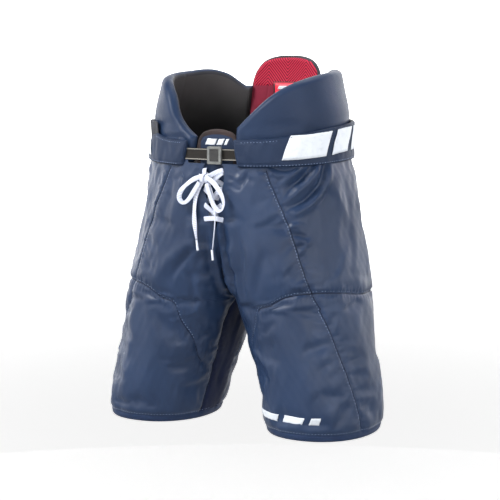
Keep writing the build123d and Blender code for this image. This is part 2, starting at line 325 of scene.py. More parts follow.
def sewing_thread():
    # The stitches' thread with painted highlight: coloured far lighter than the cloth, for the
    # glints the stitches catch along the seams.
    f = Finish("sewing_thread", srgb(70, 84, 112), 0.5, 0.0, 0.3)
    f.tint(f.noise(300.0), srgb(88, 104, 134), srgb(118, 134, 162))
    f.relief(f.wave(900.0, "DIAGONAL", kind="Object"), 0.4, 0.0002)
    return f.material


def webbing():
    """Dark woven strap with a ribbed face."""
    f = Finish("webbing", srgb(26, 24, 22), 0.7, 0.0, 0.15)
    f.tint(f.wave(190.0, "X"), srgb(15, 14, 13), srgb(36, 33, 30))
    f.relief(f.wave(190.0, "X"), 0.6, 0.0004)
    f.relief(f.wave(330.0, "Y"), 0.4, 0.0003)
    return f.material


def webbing_edge():
    """Pale grey selvedge threads of the strap."""
    f = Finish("webbing_edge", srgb(110, 108, 104), 0.6, 0.0, 0.2)
    f.tint(f.wave(330.0, "X", turn=0.5), srgb(84, 82, 78), srgb(132, 130, 124))
    f.relief(f.wave(330.0, "X", turn=0.5), 0.5, 0.0003)
    return f.material


def braid():
    """White flat lace, braided in a herringbone."""
    f = Finish("braid", srgb(186, 191, 206), 0.6, 0.0, 0.25)
    f.tint(f.wave(230.0, "DIAGONAL"), srgb(138, 144, 164), srgb(206, 211, 224))
    f.relief(f.wave(230.0, "DIAGONAL"), 0.5, 0.0005)
    f.relief(f.wave(230.0, "DIAGONAL", turn=math.pi / 2), 0.5, 0.0005)
    return f.material


def moulded_plastic(name, dark, light, roughness=0.42):
    f = Finish(name, dark, roughness)
    f.tint(f.noise(120.0, 5.0), dark, light)
    f.rough(f.noise(260.0, 5.0), roughness - 0.1, roughness + 0.14)
    f.relief(f.noise(900.0, 3.0), 0.25, 0.0002)
    return f.material


def brushed_metal():
    f = Finish("brushed_metal", srgb(96, 104, 120), 0.35)
    f.shader.inputs["Metallic"].default_value = 0.9
    f.tint(f.noise(300.0, 4.0), srgb(74, 82, 98), srgb(120, 128, 142))
    f.relief(f.noise(700.0, 3.0), 0.2, 0.0002)
    return f.material


def printed_film(name, dark, light):
    """A thin smooth transfer, slightly worn."""
    f = Finish(name, light, 0.5)
    f.tint(f.noise(160.0, 6.0), dark, light, (0.25, 0.5))
    f.relief(f.noise(420.0, 3.0), 0.15, 0.0002)
    return f.material


def ribbed_rubber():
    f = Finish("side_mesh", srgb(22, 24, 30), 0.55)
    f.tint(f.noise(90.0, 4.0), srgb(14, 15, 19), srgb(44, 48, 58))
    f.relief(f.wave(240.0, "Y"), 0.6, 0.0005)
    return f.material


# ================= shape of the garment =================
KNOTS = STATIONS[:, 0]
SLOPES = np.gradient(STATIONS[:, 1:], KNOTS, axis=0)


def cubic_weights(t):
    """Weights of both ends' values and slopes on a smooth cubic, t from 0 to 1."""
    return 2 * t**3 - 3 * t**2 + 1, t**3 - 2 * t**2 + t, 3 * t**2 - 2 * t**3, t**3 - t**2


def section(z):
    """Middle and half size of the oval at heights z, smooth between the stations."""
    z = np.asarray(z, float)
    k = np.clip(np.searchsorted(KNOTS, z) - 1, 0, len(KNOTS) - 2)
    gap = KNOTS[k + 1] - KNOTS[k]
    start, leave, stop, arrive = cubic_weights(np.clip((z - KNOTS[k]) / gap, 0, 1))
    values = []
    for column in range(4):
        p0, p1 = STATIONS[k, column + 1], STATIONS[k + 1, column + 1]
        m0, m1 = SLOPES[k, column] * gap, SLOPES[k + 1, column] * gap
        values.append(start * p0 + leave * m0 + stop * p1 + arrive * m1)
    return values


def oval(phi, z, out=0.0):
    """Points of the left half, in millimetres. phi is 0 outside, -90 in front, +90 behind."""
    cx, cy, a, b = section(z)
    c, s = np.cos(np.radians(phi)), np.sin(np.radians(phi))
    x = cx + (a + out) * np.sign(c) * np.abs(c) ** (2 / ROUND)
    y = cy + (b + out) * np.sign(s) * np.abs(s) ** (2 / ROUND)
    return np.stack([x, y + SHIFT_Y, np.broadcast_to(z, x.shape)], -1)


def phi_at(x, z):
    """The angle, in degrees, at which the oval stands at distance x from the middle plane."""
    cx, _, a, _ = section(z)
    ratio = np.clip((x - cx) / a, -1, 1)
    return np.degrees(np.arccos(np.sign(ratio) * np.abs(ratio) ** (ROUND / 2)))


def line(points, at):
    """A smooth line through a few (at, value) points."""
    points = np.array(points, float)
    slopes = np.gradient(points[:, 1], points[:, 0])
    at = np.clip(at, points[0, 0], points[-1, 0])
    k = np.clip(np.searchsorted(points[:, 0], at) - 1, 0, len(points) - 2)
    gap = points[k + 1, 0] - points[k, 0]
    start, leave, stop, arrive = cubic_weights((at - points[k, 0]) / gap)
    return (start * points[k, 1] + leave * slopes[k] * gap
            + stop * points[k + 1, 1] + arrive * slopes[k + 1] * gap)


def ease(value, low, high):
    t = np.clip((value - low) / (high - low), 0, 1)
    return t * t * (3 - 2 * t)


def spread(values, times):
    """Puts more rows between the rows of a grid, along its first axis."""
    values = np.asarray(values, float)
    count = len(values)
    at = np.linspace(0, count - 1, (count - 1) * times + 1)
    low = np.clip(at.astype(int), 0, count - 2)
    share = (at - low).reshape(-1, *([1] * (values.ndim - 1)))
    return values[low] * (1 - share) + values[low + 1] * share


def soften(grid, passes=2):
    """Evens out a grid of vectors, leaving its border alone."""
    for _ in range(passes):
        inside = grid[1:-1, 1:-1]
        around = grid[:-2, 1:-1] + grid[2:, 1:-1] + grid[1:-1, :-2] + grid[1:-1, 2:]
        grid = grid.copy()
        grid[1:-1, 1:-1] = 0.5 * inside + 0.125 * around
    return grid


def grid_normals(points):
    """Unit normals of a grid, pointing away from the garment's inside."""
    along = np.gradient(points, axis=1)
    up = np.gradient(points, axis=0)
    normal = np.cross(along, up)
    return normal / np.maximum(np.linalg.norm(normal, axis=-1, keepdims=True), 1e-9)


# ================= meshes =================
def grid_object(name, points, keep=None, normals=None, close=False):
    """An object from a grid of millimetre points; keep marks the faces to use."""
    rows, cols = points.shape[:2]
    index = np.arange(rows * cols).reshape(rows, cols)
    if close:
        index = np.concatenate([index, index[:, :1]], axis=1)
    corners = np.stack([index[:-1, :-1], index[:-1, 1:], index[1:, 1:], index[1:, :-1]], -1)
    faces = corners[keep] if keep is not None else corners.reshape(-1, 4)
    used, faces = np.unique(faces, return_inverse=True)
    faces = faces.reshape(-1, 4)
    flat = points.reshape(-1, 3)[used] * MM
    mesh = bpy.data.meshes.new(name)
    mesh.from_pydata(flat.tolist(), [], faces.tolist())
    across = np.linalg.norm(np.diff(points, axis=1, prepend=points[:, :1]), axis=-1).cumsum(1)
    upward = np.linalg.norm(np.diff(points, axis=0, prepend=points[:1]), axis=-1).cumsum(0)
    uv = np.stack([across, upward], -1).reshape(-1, 2)[used] * MM
    layer = mesh.uv_layers.new(name="weave")
    layer.data.foreach_set("uv", uv[faces.reshape(-1)].astype(np.float32).reshape(-1))
    smooth(mesh)
    obj = add_object(name, mesh)
    if normals is not None:
        chosen = normals.reshape(-1, 3)[used]
        mesh.normals_split_custom_set_from_vertices(chosen.tolist())
    mesh.update()
    return obj


def finish_piece(obj, material, slot, body=None, replaces=()):
    obj.data.materials.append(material)
    if body:
        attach(obj, body)
    if replaces:
        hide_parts(*replaces)


def to_side(points, side):
    """The same points or normals on that side of the body, in the same order."""
    return points * np.array([side, 1.0, 1.0])


def mirror_grid(points, side):
    """The same grid on that side of the body, with its faces still turned outwards."""
    return points if side > 0 else to_side(points, side)[:, ::-1]


def finer(grid, times, passes):
    """A grid with more points both ways, evened out."""
    return soften(spread(spread(grid, times).swapaxes(0, 1), times).swapaxes(0, 1), passes)


def closed_pad(outer, inner):
    """One grid round a pad from its two faces, and the grid's normals."""
    loop = np.concatenate([outer, inner[::-1][1:]], 0)
    return loop, grid_normals(loop)


def settle(points, pinned, grow, pressure):
    """How far each point of a slightly large cloth moves as it settles, in millimetres."""
    obj = grid_object("settling_cloth", points)
    held = obj.vertex_groups.new(name="held")
    held.add([int(i) for i in np.flatnonzero(pinned.reshape(-1))], 1.0, "REPLACE")
    cloth = obj.modifiers.new("cloth", "CLOTH")
    cloth.settings.vertex_group_mass = "held"
    cloth.settings.shrink_min = -grow
    cloth.settings.use_pressure = True
    cloth.settings.uniform_pressure_force = pressure
    cloth.settings.effector_weights.gravity = 0.0
    cloth.settings.bending_stiffness = 0.4
    cloth.settings.quality = 5
    scene = bpy.context.scene
    for number in range(1, CLOTH_FRAMES + 1):
        scene.frame_set(number)
    settled = obj.evaluated_get(bpy.context.evaluated_depsgraph_get()).data
    moved = np.zeros(len(settled.vertices) * 3, np.float32)
    settled.vertices.foreach_get("co", moved)
    shift = moved.reshape(points.shape) / MM - points
    bpy.data.objects.remove(obj)
    scene.frame_set(1)
    length = np.maximum(np.linalg.norm(shift, axis=-1, keepdims=True), 1e-6)
    return shift * (CLOTH_CAP * np.tanh(length / CLOTH_CAP) / length)


# ================= laces: the cords =================
LACE_WIDTH, LACE_THICK = 8.0, 2.0
LOOP_RIGHT = [(-16, -142.6, 420), (-27, -144.6, 418), (-41, -146.1, 408), (-53, -146.6, 397),
              (-57, -146.6, 384), (-49, -145.6, 375), (-39, -144.6, 382), (-29, -144.1, 397),
              (-20, -143.1, 411)]
LOOP_LEFT = [(-8, -143.6, 419), (4, -146.6, 416), (16, -148.6, 405), (26, -149.1, 391),
             (29, -148.6, 375), (21, -147.6, 364), (10, -147.1, 372), (2, -146.1, 388),
             (-6, -144.1, 409)]
TAIL_RIGHT = [(-15, -139.1, 414), (-22, -140.1, 405), (-29, -140.6, 386), (-31.5, -140.1, 362),
              (-31.5, -138.6, 339), (-29, -137.1, 317)]
TAIL_LEFT = [(-10, -139.1, 414), (-2, -140.6, 403), (5, -141.6, 386), (8.5, -141.6, 366),
             (7.5, -140.6, 344), (4, -138.6, 322), (1, -137.1, 303)]


def route(points):
    """The smooth line of a lace: millimetre points read from its NURBS spline."""
    curve = bpy.data.curves.new("lace_route", "CURVE")
    curve.dimensions = "3D"
    curve.resolution_u = 12
    spline = curve.splines.new("NURBS")
    spline.points.add(len(points) - 1)
    for target, point in zip(spline.points, points):
        target.co = (*[value * MM for value in point], 1.0)
    spline.order_u = 3
    spline.use_endpoint_u = True
    holder = add_object("lace_route", curve)
    mesh = bpy.data.meshes.new_from_object(holder)
    result = np.array([v.co for v in mesh.vertices]) / MM
    bpy.data.objects.remove(holder)
    bpy.data.meshes.remove(mesh)
    return result


def ribbon_grid(path, width, thick, twist, taper=0.0, facing=(0.0, -1.0, 0.0)):
    """A flat lace's surface along a path: rounded edges, slightly thinner in its middle."""
    tangent = np.gradient(path, axis=0)
    tangent /= np.linalg.norm(tangent, axis=1, keepdims=True)
    facing = np.broadcast_to(np.array(facing, float), path.shape)
    facing = facing - tangent * (facing * tangent).sum(1, keepdims=True)
    facing = facing / np.maximum(np.linalg.norm(facing, axis=1, keepdims=True), 1e-6)
    across = np.cross(tangent, facing)
    share = np.linspace(0, 1, len(path))
    angle = np.radians(np.interp(share, np.linspace(0, 1, len(twist)), twist))[:, None]
    wide = across * np.cos(angle) + facing * np.sin(angle)
    flat = facing * np.cos(angle) - across * np.sin(angle)
    width = width * (1 - taper * ease(share, 0.8, 1.0))[:, None]
    ring = []
    for k in range(14):
        turn = 2 * math.pi * k / 14
        x = math.copysign(abs(math.cos(turn)) ** 0.7, math.cos(turn))
        y = math.copysign(abs(math.sin(turn)) ** 0.8, math.sin(turn)) * (0.72 + 0.28 * abs(x))
        ring.append(path + wide * (x * width / 2) + flat * (y * thick / 2))
    return np.stack(ring, 1)


def ribbon(name, path, width, thick, twist, taper=0.0, facing=(0.0, -1.0, 0.0)):
    """A flat lace as a closed mesh with capped ends."""
    grid = ribbon_grid(path, width, thick, twist, taper, facing)
    obj = grid_object(name, grid, close=True)
    mesh = bmesh.new()
    mesh.from_mesh(obj.data)
    open_edges = [edge for edge in mesh.edges if edge.is_boundary]
    bmesh.ops.holes_fill(mesh, edges=open_edges, sides=0)
    mesh.to_mesh(obj.data)
    mesh.free()
    smooth(obj.data)
    return obj


def make_laces(white, tip):
    laces = {
        "lace_loop_right": (LOOP_RIGHT, [20, -12, -30, 10, 35, 55, 20, 0, 10], 114.0),
        "lace_loop_left": (LOOP_LEFT, [-10, 15, 20, -15, -40, -60, -25, 5, 10], 126.3),
        "lace_tail_right": (TAIL_RIGHT, [0, 10, -8, -20, 10, 40], 100.9),
        "lace_tail_left": (TAIL_LEFT, [0, -20, -45, -50, -55, -60, -60], 115.9),
    }
    for name, (points, twist, length) in laces.items():
        path = route(points)
        tail = "tail" in name
        obj = ribbon(name + "_flat", path, LACE_WIDTH, LACE_THICK, twist, 0.55 if tail else 0.0)
        finish_piece(obj, white, "lace_white", "pelvis", [name])
        if tail:
            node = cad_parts[name.replace("tail", "aglet")]
            node.data.materials.clear()
            node.data.materials.append(tip)
        tuple(np.array(points[0]) * MM)


def join(name, parts):
    """One object from several, by adding up their meshes."""
    whole = bmesh.new()
    for part in parts:
        whole.from_mesh(part.data)
        bpy.data.objects.remove(part)
    mesh = bpy.data.meshes.new(name)
    whole.to_mesh(mesh)
    whole.free()
    return add_object(name, mesh)


EYELET_X = 17.0
EYELET_Z = [350.0, 376.0, 402.0, 428.0]


def front_y(x, z):
    """Y of the garment's front at a place."""
    z = np.asarray(z, float)
    return oval(-phi_at(np.abs(x), z), z)[..., 1]


def lace_path(stops):
    """A path over the front from (x, z, height over the cloth) stops."""
    stops = np.array(stops, float)
    at = np.linspace(0, len(stops) - 1, 24)
    x, z, lift = [line(np.stack([np.arange(len(stops)), stops[:, k]], -1), at) for k in range(3)]
    return np.stack([x, front_y(x, z) - lift, z], -1)


def make_lacing(white):
    parts = []
    base = EYELET_Z[0]
    parts.append(ribbon("bar", lace_path([(-19, base, -2), (-15, base + 1, 2.6), (0, base + 2, 3.4),
                                          (15, base + 1, 2.6), (19, base, -2)]),
                        LACE_WIDTH, LACE_THICK, [0, 0]))
    for low, high in zip(EYELET_Z, EYELET_Z[1:]):
        middle = (low + high) / 2
        for side in (-1, 1):
            lift = 0.8 * side
            stops = [(side * 18, high, -2), (side * 15, high - 2, 2.4), (side * 9, high - 7, 3.0),
                     (0, middle - 2, 1.2 + lift), (-side * 9, low + 8, -5.5),
                     (-side * 15, low + 2, -7)]
            parts.append(ribbon("cross", lace_path(stops), LACE_WIDTH, LACE_THICK,
                                [0, side * 10, 0]))
    top = EYELET_Z[-1]
    for side, rise in ((-1, 5), (1, 3)):
        stops = [(side * 17 + 1, top + rise, 1.5), (side * 12 - 3, top, 5.0),
                 (side * 4 - 9, 421, 7.5)]
        parts.append(ribbon("stub", lace_path(stops), LACE_WIDTH, LACE_THICK, [0, side * 15]))
    obj = join("fly_lacing_flat", parts)
    finish_piece(obj, white, "lace_white", "pelvis", ["fly_lacing"])


def make_knot(white):
    """The bow's knot: the two halves crossed under one tight wrap."""
    low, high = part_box("lace_knot")
    centre = np.array((low + high) / 2) / MM
    parts = []
    turn = np.linspace(0, 2 * math.pi, 33)
    wrap = centre + np.stack([2.2 * np.cos(turn), 5.2 * np.cos(turn), 6.6 * np.sin(turn)], -1)
    outward = (wrap - centre) / np.linalg.norm(wrap - centre, axis=1, keepdims=True)
    parts.append(ribbon("wrap", wrap, 8.5, 2.2, [0, 0], facing=outward))
    for lean, sway in ((0.5, 1.2), (-0.5, -1.2)):
        reach = np.linspace(-8.5, 8.5, 15)
        path = centre + np.stack([reach, -2.5 + 0.03 * reach**2 + sway, lean * reach], -1)
        parts.append(ribbon("half", path, 7.0, 2.6, [8, -8]))
    obj = join("lace_knot_tied", parts)
    finish_piece(obj, white, "lace_white", "pelvis", ["lace_knot"])


# ================= the shell of the two halves =================
# Seam lines: angles in degrees, heights in millimetres.
DIAGONAL_SEAM = [(0, -17), (55, -25), (165, -41), (236, -53), (343, -58), (430, -63), (510, -66)]
REAR_SEAM = [(0, 56), (120, 58), (236, 62), (343, 58), (430, 54), (510, 52)]
THIGH_SEAM = [(-160, 92), (-142, 116), (-136, 135), (-114, 182), (-107, 202), (-92, 216),
              (-79, 229), (-53, 237), (-26, 235), (-3, 228), (40, 226), (80, 222), (107, 200),
              (125, 160), (142, 116), (160, 92)]
INNER_SEAM = [(0, 160), (60, 166), (100, 167), (137, 163), (175, 162), (212, 166)]
INNER_TOP = 204.0

# Folds: (angle, height) points, half width and height of the ridge, all but the angle in mm.
LEFT_FOLDS = [
    ([(-39, 440), (-48, 423), (-58, 407)], 5.3, 5.0),
    ([(-27, 441), (-35, 419), (-46, 398), (-57, 381)], 6.2, 6.8),
    ([(-18, 443), (-25, 408), (-35, 384), (-47, 368), (-58, 358)], 6.6, 6.6),
    ([(-33, 440), (-42, 419), (-53, 400)], 4.0, -4.1),
    ([(-22, 441), (-31, 408), (-43, 384), (-57, 370)], 4.4, -4.7),
    ([(-61, 431), (-57, 423), (-50, 425)], 3.1, 2.5),
    ([(-60, 437), (-52, 432), (-42, 436)], 2.6, -3.5),
    ([(-59, 339), (-54, 345), (-48, 345)], 4.4, 3.7),
    ([(-57, 332), (-52, 330), (-46, 326)], 3.1, -4.1),
    ([(-56, 319), (-52, 321), (-48, 319)], 3.5, 3.1),
    ([(-56, 309), (-52, 311), (-47, 310)], 3.1, -3.1),
    ([(-56, 300), (-51, 308), (-44, 322)], 4.0, 3.5),
    ([(-15, 439), (-18, 351), (-28, 244)], 14.0, 2.4),
    ([(-3, 437), (-6, 348), (-16, 241)], 10.0, -2.2),
    ([(9, 420), (10, 340), (13, 246)], 13.0, 2.2),
    ([(24, 430), (26, 340), (30, 250)], 11.0, -1.8),
    ([(-90, 350), (-99, 292), (-112, 233)], 7.0, -4.4),
    ([(-97, 335), (-110, 280), (-124, 213)], 8.0, 3.9),
    ([(-80, 345), (-88, 294), (-92, 240)], 9.0, 2.4),
    ([(-80, 300), (-87, 278), (-99, 228)], 6.0, -2.8),
    ([(-103, 343), (-118, 289), (-132, 228), (-142, 205)], 6.0, -6.0),
    ([(-114, 330), (-127, 285), (-140, 232), (-150, 208)], 6.0, 4.9),
    ([(-125, 320), (-137, 275), (-150, 232), (-160, 212)], 5.5, -5.2),
    ([(-72, 300), (-73, 270), (-75, 242)], 8.0, 1.8),
    ([(-66, 246), (-60, 249), (-54, 258)], 6.0, 2.8),
    ([(-70, 240), (-62, 241), (-56, 244)], 4.0, -2.2),
    ([(-76, 432), (-82, 414)], 4.0, 2.2),
    ([(-73, 430), (-78, 412)], 3.0, -1.8),
    ([(-40, 215), (-44, 150), (-38, 70)], 16.0, 1.6),
    ([(-72, 215), (-78, 150), (-82, 60)], 18.0, 1.5),
    ([(-104, 185), (-106, 120), (-104, 40)], 16.0, -1.4),
    ([(8, 215), (2, 140), (6, 60)], 15.0, 1.5),
]
RIGHT_FOLDS = [
    ([(-101, 316), (-95, 298), (-88, 274), (-83, 237)], 11.0, 3.6),
    ([(-106, 306), (-100, 280), (-95, 250)], 7.0, -3.2),
    ([(-61, 420), (-56, 364), (-49, 330)], 7.0, 2.2),
    ([(-67, 428), (-70, 380), (-72, 345)], 8.0, -2.4),
    ([(-74, 432), (-79, 380), (-80, 330)], 9.0, 2.2),
    ([(-84, 425), (-88, 370), (-92, 330)], 6.0, -1.8),
    ([(-40, 435), (-38, 370), (-34, 300)], 11.0, 2.0),
    ([(-103, 345), (-113, 306), (-125, 266), (-146, 212)], 6.0, -4.4),
    ([(-96, 335), (-106, 290), (-118, 250), (-130, 205)], 8.0, 3.4),
    ([(-112, 335), (-122, 295), (-137, 250), (-156, 210)], 6.0, 3.4),
    ([(-120, 330), (-130, 290), (-145, 245), (-166, 212)], 5.0, -4.2),
    ([(-110, 262), (-118, 228), (-124, 198)], 5.0, -3.0),
    ([(-62, 280), (-66, 262), (-70, 246)], 8.0, 1.8),
    ([(-60, 205), (-66, 140), (-70, 50)], 16.0, 1.7),
    ([(-92, 190), (-98, 130), (-98, 50)], 17.0, 1.6),
    ([(-122, 150), (-126, 100), (-124, 40)], 13.0, -1.6),
    ([(-20, 430), (-14, 340), (-18, 250)], 12.0, 2.0),
    ([(10, 430), (14, 340), (16, 250)], 12.0, -2.0),
]
BACK_FOLDS = [
    ([(70, 440), (74, 350), (84, 250)], 13.0, 2.4),
    ([(82, 430), (90, 340), (104, 262)], 9.0, -2.6),
    ([(98, 340), (112, 285), (128, 232)], 8.0, 3.0),
    ([(108, 345), (124, 285), (142, 220)], 6.0, -3.6),
    ([(60, 330), (72, 262), (80, 236)], 8.0, -2.2),
    ([(44, 440), (46, 340), (44, 250)], 12.0, 2.2),
    ([(80, 200), (84, 120), (82, 40)], 17.0, 1.8),
    ([(108, 180), (112, 110), (108, 40)], 14.0, -1.6),
]


def girth(z):
    """Millimetres along the section for one degree of angle, roughly."""
    _, _, a, b = section(z)
    return (a + b) / 2 * math.pi / 180


def distance_to(phi, z, points):
    """Distance from each grid point to a line on the cloth, and how far along the line it is."""
    points = np.array(points, float)
    at = np.linspace(0, len(points) - 1, 14 * len(points))
    keys = np.arange(len(points))
    line_phi = line(np.stack([keys, points[:, 0]], -1), at)
    line_z = line(np.stack([keys, points[:, 1]], -1), at)
    scale = girth(z)
    best = np.full(phi.shape, 1e9)
    share = np.zeros(phi.shape)
    for k in range(len(at)):
        square = ((phi - line_phi[k]) * scale) ** 2 + (z - line_z[k]) ** 2
        nearer = square < best
        best = np.where(nearer, square, best)
        share = np.where(nearer, at[k] / at[-1], share)
    return np.sqrt(best), share


def fold_relief(phi, z, folds):
    """Ridges and valleys that swell along their middle and die out at their ends."""
    height = np.zeros(phi.shape)
    for points, width, rise in folds:
        distance, share = distance_to(phi, z, points)
        swell = np.sin(math.pi * (0.12 + 0.82 * share)) ** 0.8
        height += rise * swell * np.exp(-((distance / width) ** 2))
    return height


def ripple(phi, z, seed, pitch, count=9):
    """Slow random waves, always the same for one seed."""
    random = np.random.default_rng(seed)
    total = np.zeros(phi.shape)
    along = phi * girth(z)
    for _ in range(count):
        angle = random.uniform(-0.6, 0.6)
        length = pitch * random.uniform(0.7, 1.6)
        phase = random.uniform(0, 2 * math.pi)
        reach = along * math.cos(angle) + z * math.sin(angle)
        total += np.sin(2 * math.pi * reach / length + phase)
    return total / math.sqrt(count)


def seam_relief(distance, length, pucker=0.7, pitch=9.0, groove=1.8):
    """A sewn seam: a groove, cloth that puffs up beside it, and small puckers along it."""
    puff = 1.3 * (1 - np.exp(-((distance / 13) ** 2)))
    cut = -groove * np.exp(-((distance / 2.6) ** 2))
    wave = pucker * np.exp(-((distance / 9) ** 2)) * np.sin(2 * math.pi * length / pitch)
    return puff + cut + wave * (1 - np.exp(-((distance / 3) ** 2)))


def shell_rows():
    """Height and offset of each coarse row: up the inside of the hem, round it, and up the leg."""
    turned = [(26, -15.5), (16, -15), (7, -13.5), (2, -10.5), (0.4, -8), (0.2, -5), (1.0, -2),
              (3.5, -0.2), (8, 0.4)]
    rise = [(z, 0.0) for z in np.arange(HEM_BAND, 500.1, 6.1)]
    return np.array(turned + rise)


def shell_grid(rows, cols):
    """Angles, heights and offsets of the points of the left half's shell."""
    span = np.linspace(0, 1, cols)
    z = np.repeat(rows[:, :1], cols, 1)
    out = np.repeat(rows[:, 1:], cols, 1)
    open_fly = FLY_HALF * ease(z, FLY_BOTTOM - 8, FLY_BOTTOM + 10)
    front, rear = -phi_at(open_fly, z), phi_at(0.0, z)
    phi = front + (rear - front) * span
    x = oval(phi, z)[..., 0]
    in_front = (phi < 0) & (z > 300)
    top = np.where(in_front, FRONT_TOP + (SIDE_TOP - FRONT_TOP) * ease(x, 40, 62), SIDE_TOP)
    start = 380.0
    z = np.where(z > start, start + (z - start) * (top - start) / (500.0 - start), z)
    return phi, z, out


def seam_distances(phi, z):
    """Distance to each seam of a half, with the length along it."""
    scale = girth(z)
    lean = np.cos(math.radians(20))
    diagonal = np.abs(phi - line(DIAGONAL_SEAM, z)) * scale * lean
    rear = np.abs(phi - line(REAR_SEAM, z)) * scale
    ring = np.abs(z - line(THIGH_SEAM, phi))
    steep = np.clip((np.abs(phi) - 85) / 30, 0, 1)
    ring = ring * (1 - 0.5 * steep)
    inner = np.abs(np.abs(phi) - line(INNER_SEAM, z)) * scale
    return diagonal, rear, ring, inner


RIGHT_FULLER = 7.0          # how much fuller the right leg's inner rear is, in millimetres


def shell_relief(side_name, phi, z):
    """Everything sewn or folded into one half's cloth, as a height in millimetres."""
    diagonal, rear, ring, inner = seam_distances(phi, z)
    along = phi * girth(z)
    folds = (LEFT_FOLDS if side_name == "left" else RIGHT_FOLDS) + BACK_FOLDS
    height = fold_relief(phi, z, folds)
    inside = np.abs(phi) > line(INNER_SEAM, z)
    low = z < 212
    far = np.full(phi.shape, 99.0)
    height += seam_relief(diagonal, z, 0.7)
    height += seam_relief(rear, z, 0.6)
    height += seam_relief(np.where(inside & low, far, ring), along, 1.3, 8.0)
    height += seam_relief(np.where(low, inner, far), z, 0.5, 10.0)
    hem = np.abs(z - HEM_BAND)
    height += np.where(z < 60, seam_relief(hem, along, 0.35, 7.0, 1.1), 1.3)
    seed = 3 if side_name == "left" else 8
    height += 0.7 * ripple(phi, z, seed, 46.0) + 0.25 * ripple(phi, z, seed + 20, 17.0)
    if side_name == "right":
        over = ease(z, 14, 60) * (1 - ease(z, 185, 212))
        height += RIGHT_FULLER * np.exp(-(((phi - 155) / 26) ** 2)) * over
    return height - 4.2 - 2.2 * np.exp(-(((z - 185) / 60) ** 2))


def shell_regions(phi, z, rows):
    """The sewn panel that each face belongs to."""
    phi = (phi[:-1, :-1] + phi[1:, 1:]) / 2
    z = (z[:-1, :-1] + z[1:, 1:]) / 2
    row = np.arange(len(phi))[:, None] + np.zeros(phi.shape, int)
    band = row < rows
    low = z < line(THIGH_SEAM, phi)
    inner = (np.abs(phi) > line(INNER_SEAM, z)) & (z < INNER_TOP)
    ahead = phi < line(DIAGONAL_SEAM, z)
    behind = phi > line(REAR_SEAM, z)
    name = np.where(low, np.where(ahead, "thigh_shell_front", "thigh_shell_outer"),
                    np.where(ahead, "front_panel", np.where(behind, "seat_panel", "side_panel")))
    name = np.where(inner, "inner_thigh_panel", name)
    return np.where(band, "leg_hem_band", name)


FINE = 2                    # points of the finished cloth for each point of the settled one
SHELL_COLUMNS = 107
HEM_ROWS = 8                # rows of the settled cloth inside and under the hem


def fold_over_leg(obj):
    """Bakes the cloth's placement into its mesh; nothing makes it follow the pelvis or the leg."""
    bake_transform(obj)


def make_shell(side_name, nylon, inner_cloth, hem_cloth, thread, seam_shade_cloth):
    """All the outer panels of one half, cut from one settled and folded sheet."""
    rows = shell_rows()
    phi, z, out = shell_grid(rows, SHELL_COLUMNS)
    diagonal, rear, ring, inner = seam_distances(phi, z)
    pinned = (diagonal < 3.5) | (rear < 3.5) | (ring < 3.2) | (z < HEM_BAND + 2) | (z > 470)
    pinned |= (inner < 3.0) & (z < 212)
    pinned |= (np.abs(phi) > line(INNER_SEAM, z)) & (z < 212)
    pinned[:, [0, 1, -2, -1]] = True
    pinned[-2:] = True
    rest = oval(phi, z, out)
    shift = settle(rest, pinned, 0.045 if side_name == "left" else 0.05, 1.2)
    shift = finer(shift, FINE, 3)

    fine_rows = spread(rows, FINE)
    phi, z, out = shell_grid(fine_rows, (SHELL_COLUMNS - 1) * FINE + 1)
    base = oval(phi, z, out)
    raised = base + shift * (1 - ease(z, 418, 442))[..., None]
    relief = shell_relief(side_name, phi, z) * ease(fine_rows[:, 0], 2, 16)[:, None]
    relief[: HEM_ROWS * FINE] = 0
    middle_seam = np.where(z > CROTCH_Z - 4, ease(base[..., 0], 0.0, 9.0), 1.0)
    sink = np.where((phi < 0) & (z > FLY_BOTTOM), 0.0, 2.2) * (1 - middle_seam)
    normal = grid_normals(base)
    points = raised + normal * (relief * (0.25 + 0.75 * middle_seam) - sink)[..., None]
    closed = (z < CROTCH_Z + 1) & (np.abs(phi) > 177)
    points[..., 0] = np.where(closed | (points[..., 0] > 0.0), points[..., 0], 0.0)
    joined = z[:, 0] < CROTCH_Z
    meet = (points[joined, 0] + points[joined, -1]) / 2
    points[joined, 0] = meet
    points[joined, -1] = meet
    points[~joined, 0, 0] = np.where(z[~joined, 0] > FLY_BOTTOM - 8, points[~joined, 0, 0], 0.0)
    points[~joined, -1, 0] = 0.0
    points[..., 2] = np.maximum(points[..., 2], 0.15)
    regions = shell_regions(phi, z, HEM_ROWS * FINE + 2)
    normals = grid_normals(points)
    sew_shell(side_name, thread, seam_shade_cloth, (phi, z, points, normals, HEM_ROWS * FINE))
    side = SIDES[side_name]
    if side < 0:
        regions = regions[:, ::-1]
    placed, normals = mirror_grid(points, side), mirror_grid(normals, side)
    stands_for = {
        "front_panel": ["front_panel", "groin_stretch_panel"],
        "side_panel": ["side_panel", "hip_foam"],
        "seat_panel": ["seat_stretch_panel"],
        "thigh_shell_front": ["thigh_shell_front", "thigh_foam_front", "thigh_plate"],
        "thigh_shell_outer": ["thigh_shell_outer", "thigh_foam_outer", "thigh_foam_rear"],
        "inner_thigh_panel": ["inner_thigh_panel"],
        "leg_hem_band": ["leg_hem_band"],
    }
    cloths = {"inner_thigh_panel": (inner_cloth, "stretch_panel"),
              "leg_hem_band": (hem_cloth, "shell_nylon")}
    for region, nodes in stands_for.items():
        obj = grid_object(f"{region}_cloth_{side_name}", placed, regions == region, normals)
        material, slot = cloths.get(region, (nylon, "shell_nylon"))
        names = [f"{node}_{side_name}" for node in nodes]
        if region == "seat_panel" and side_name == "left":
            names += ["seat_panel", "tailbone_foam", "spine_foam"]
        finish_piece(obj, material, slot, None, names)
        fold_over_leg(obj)
    return placed


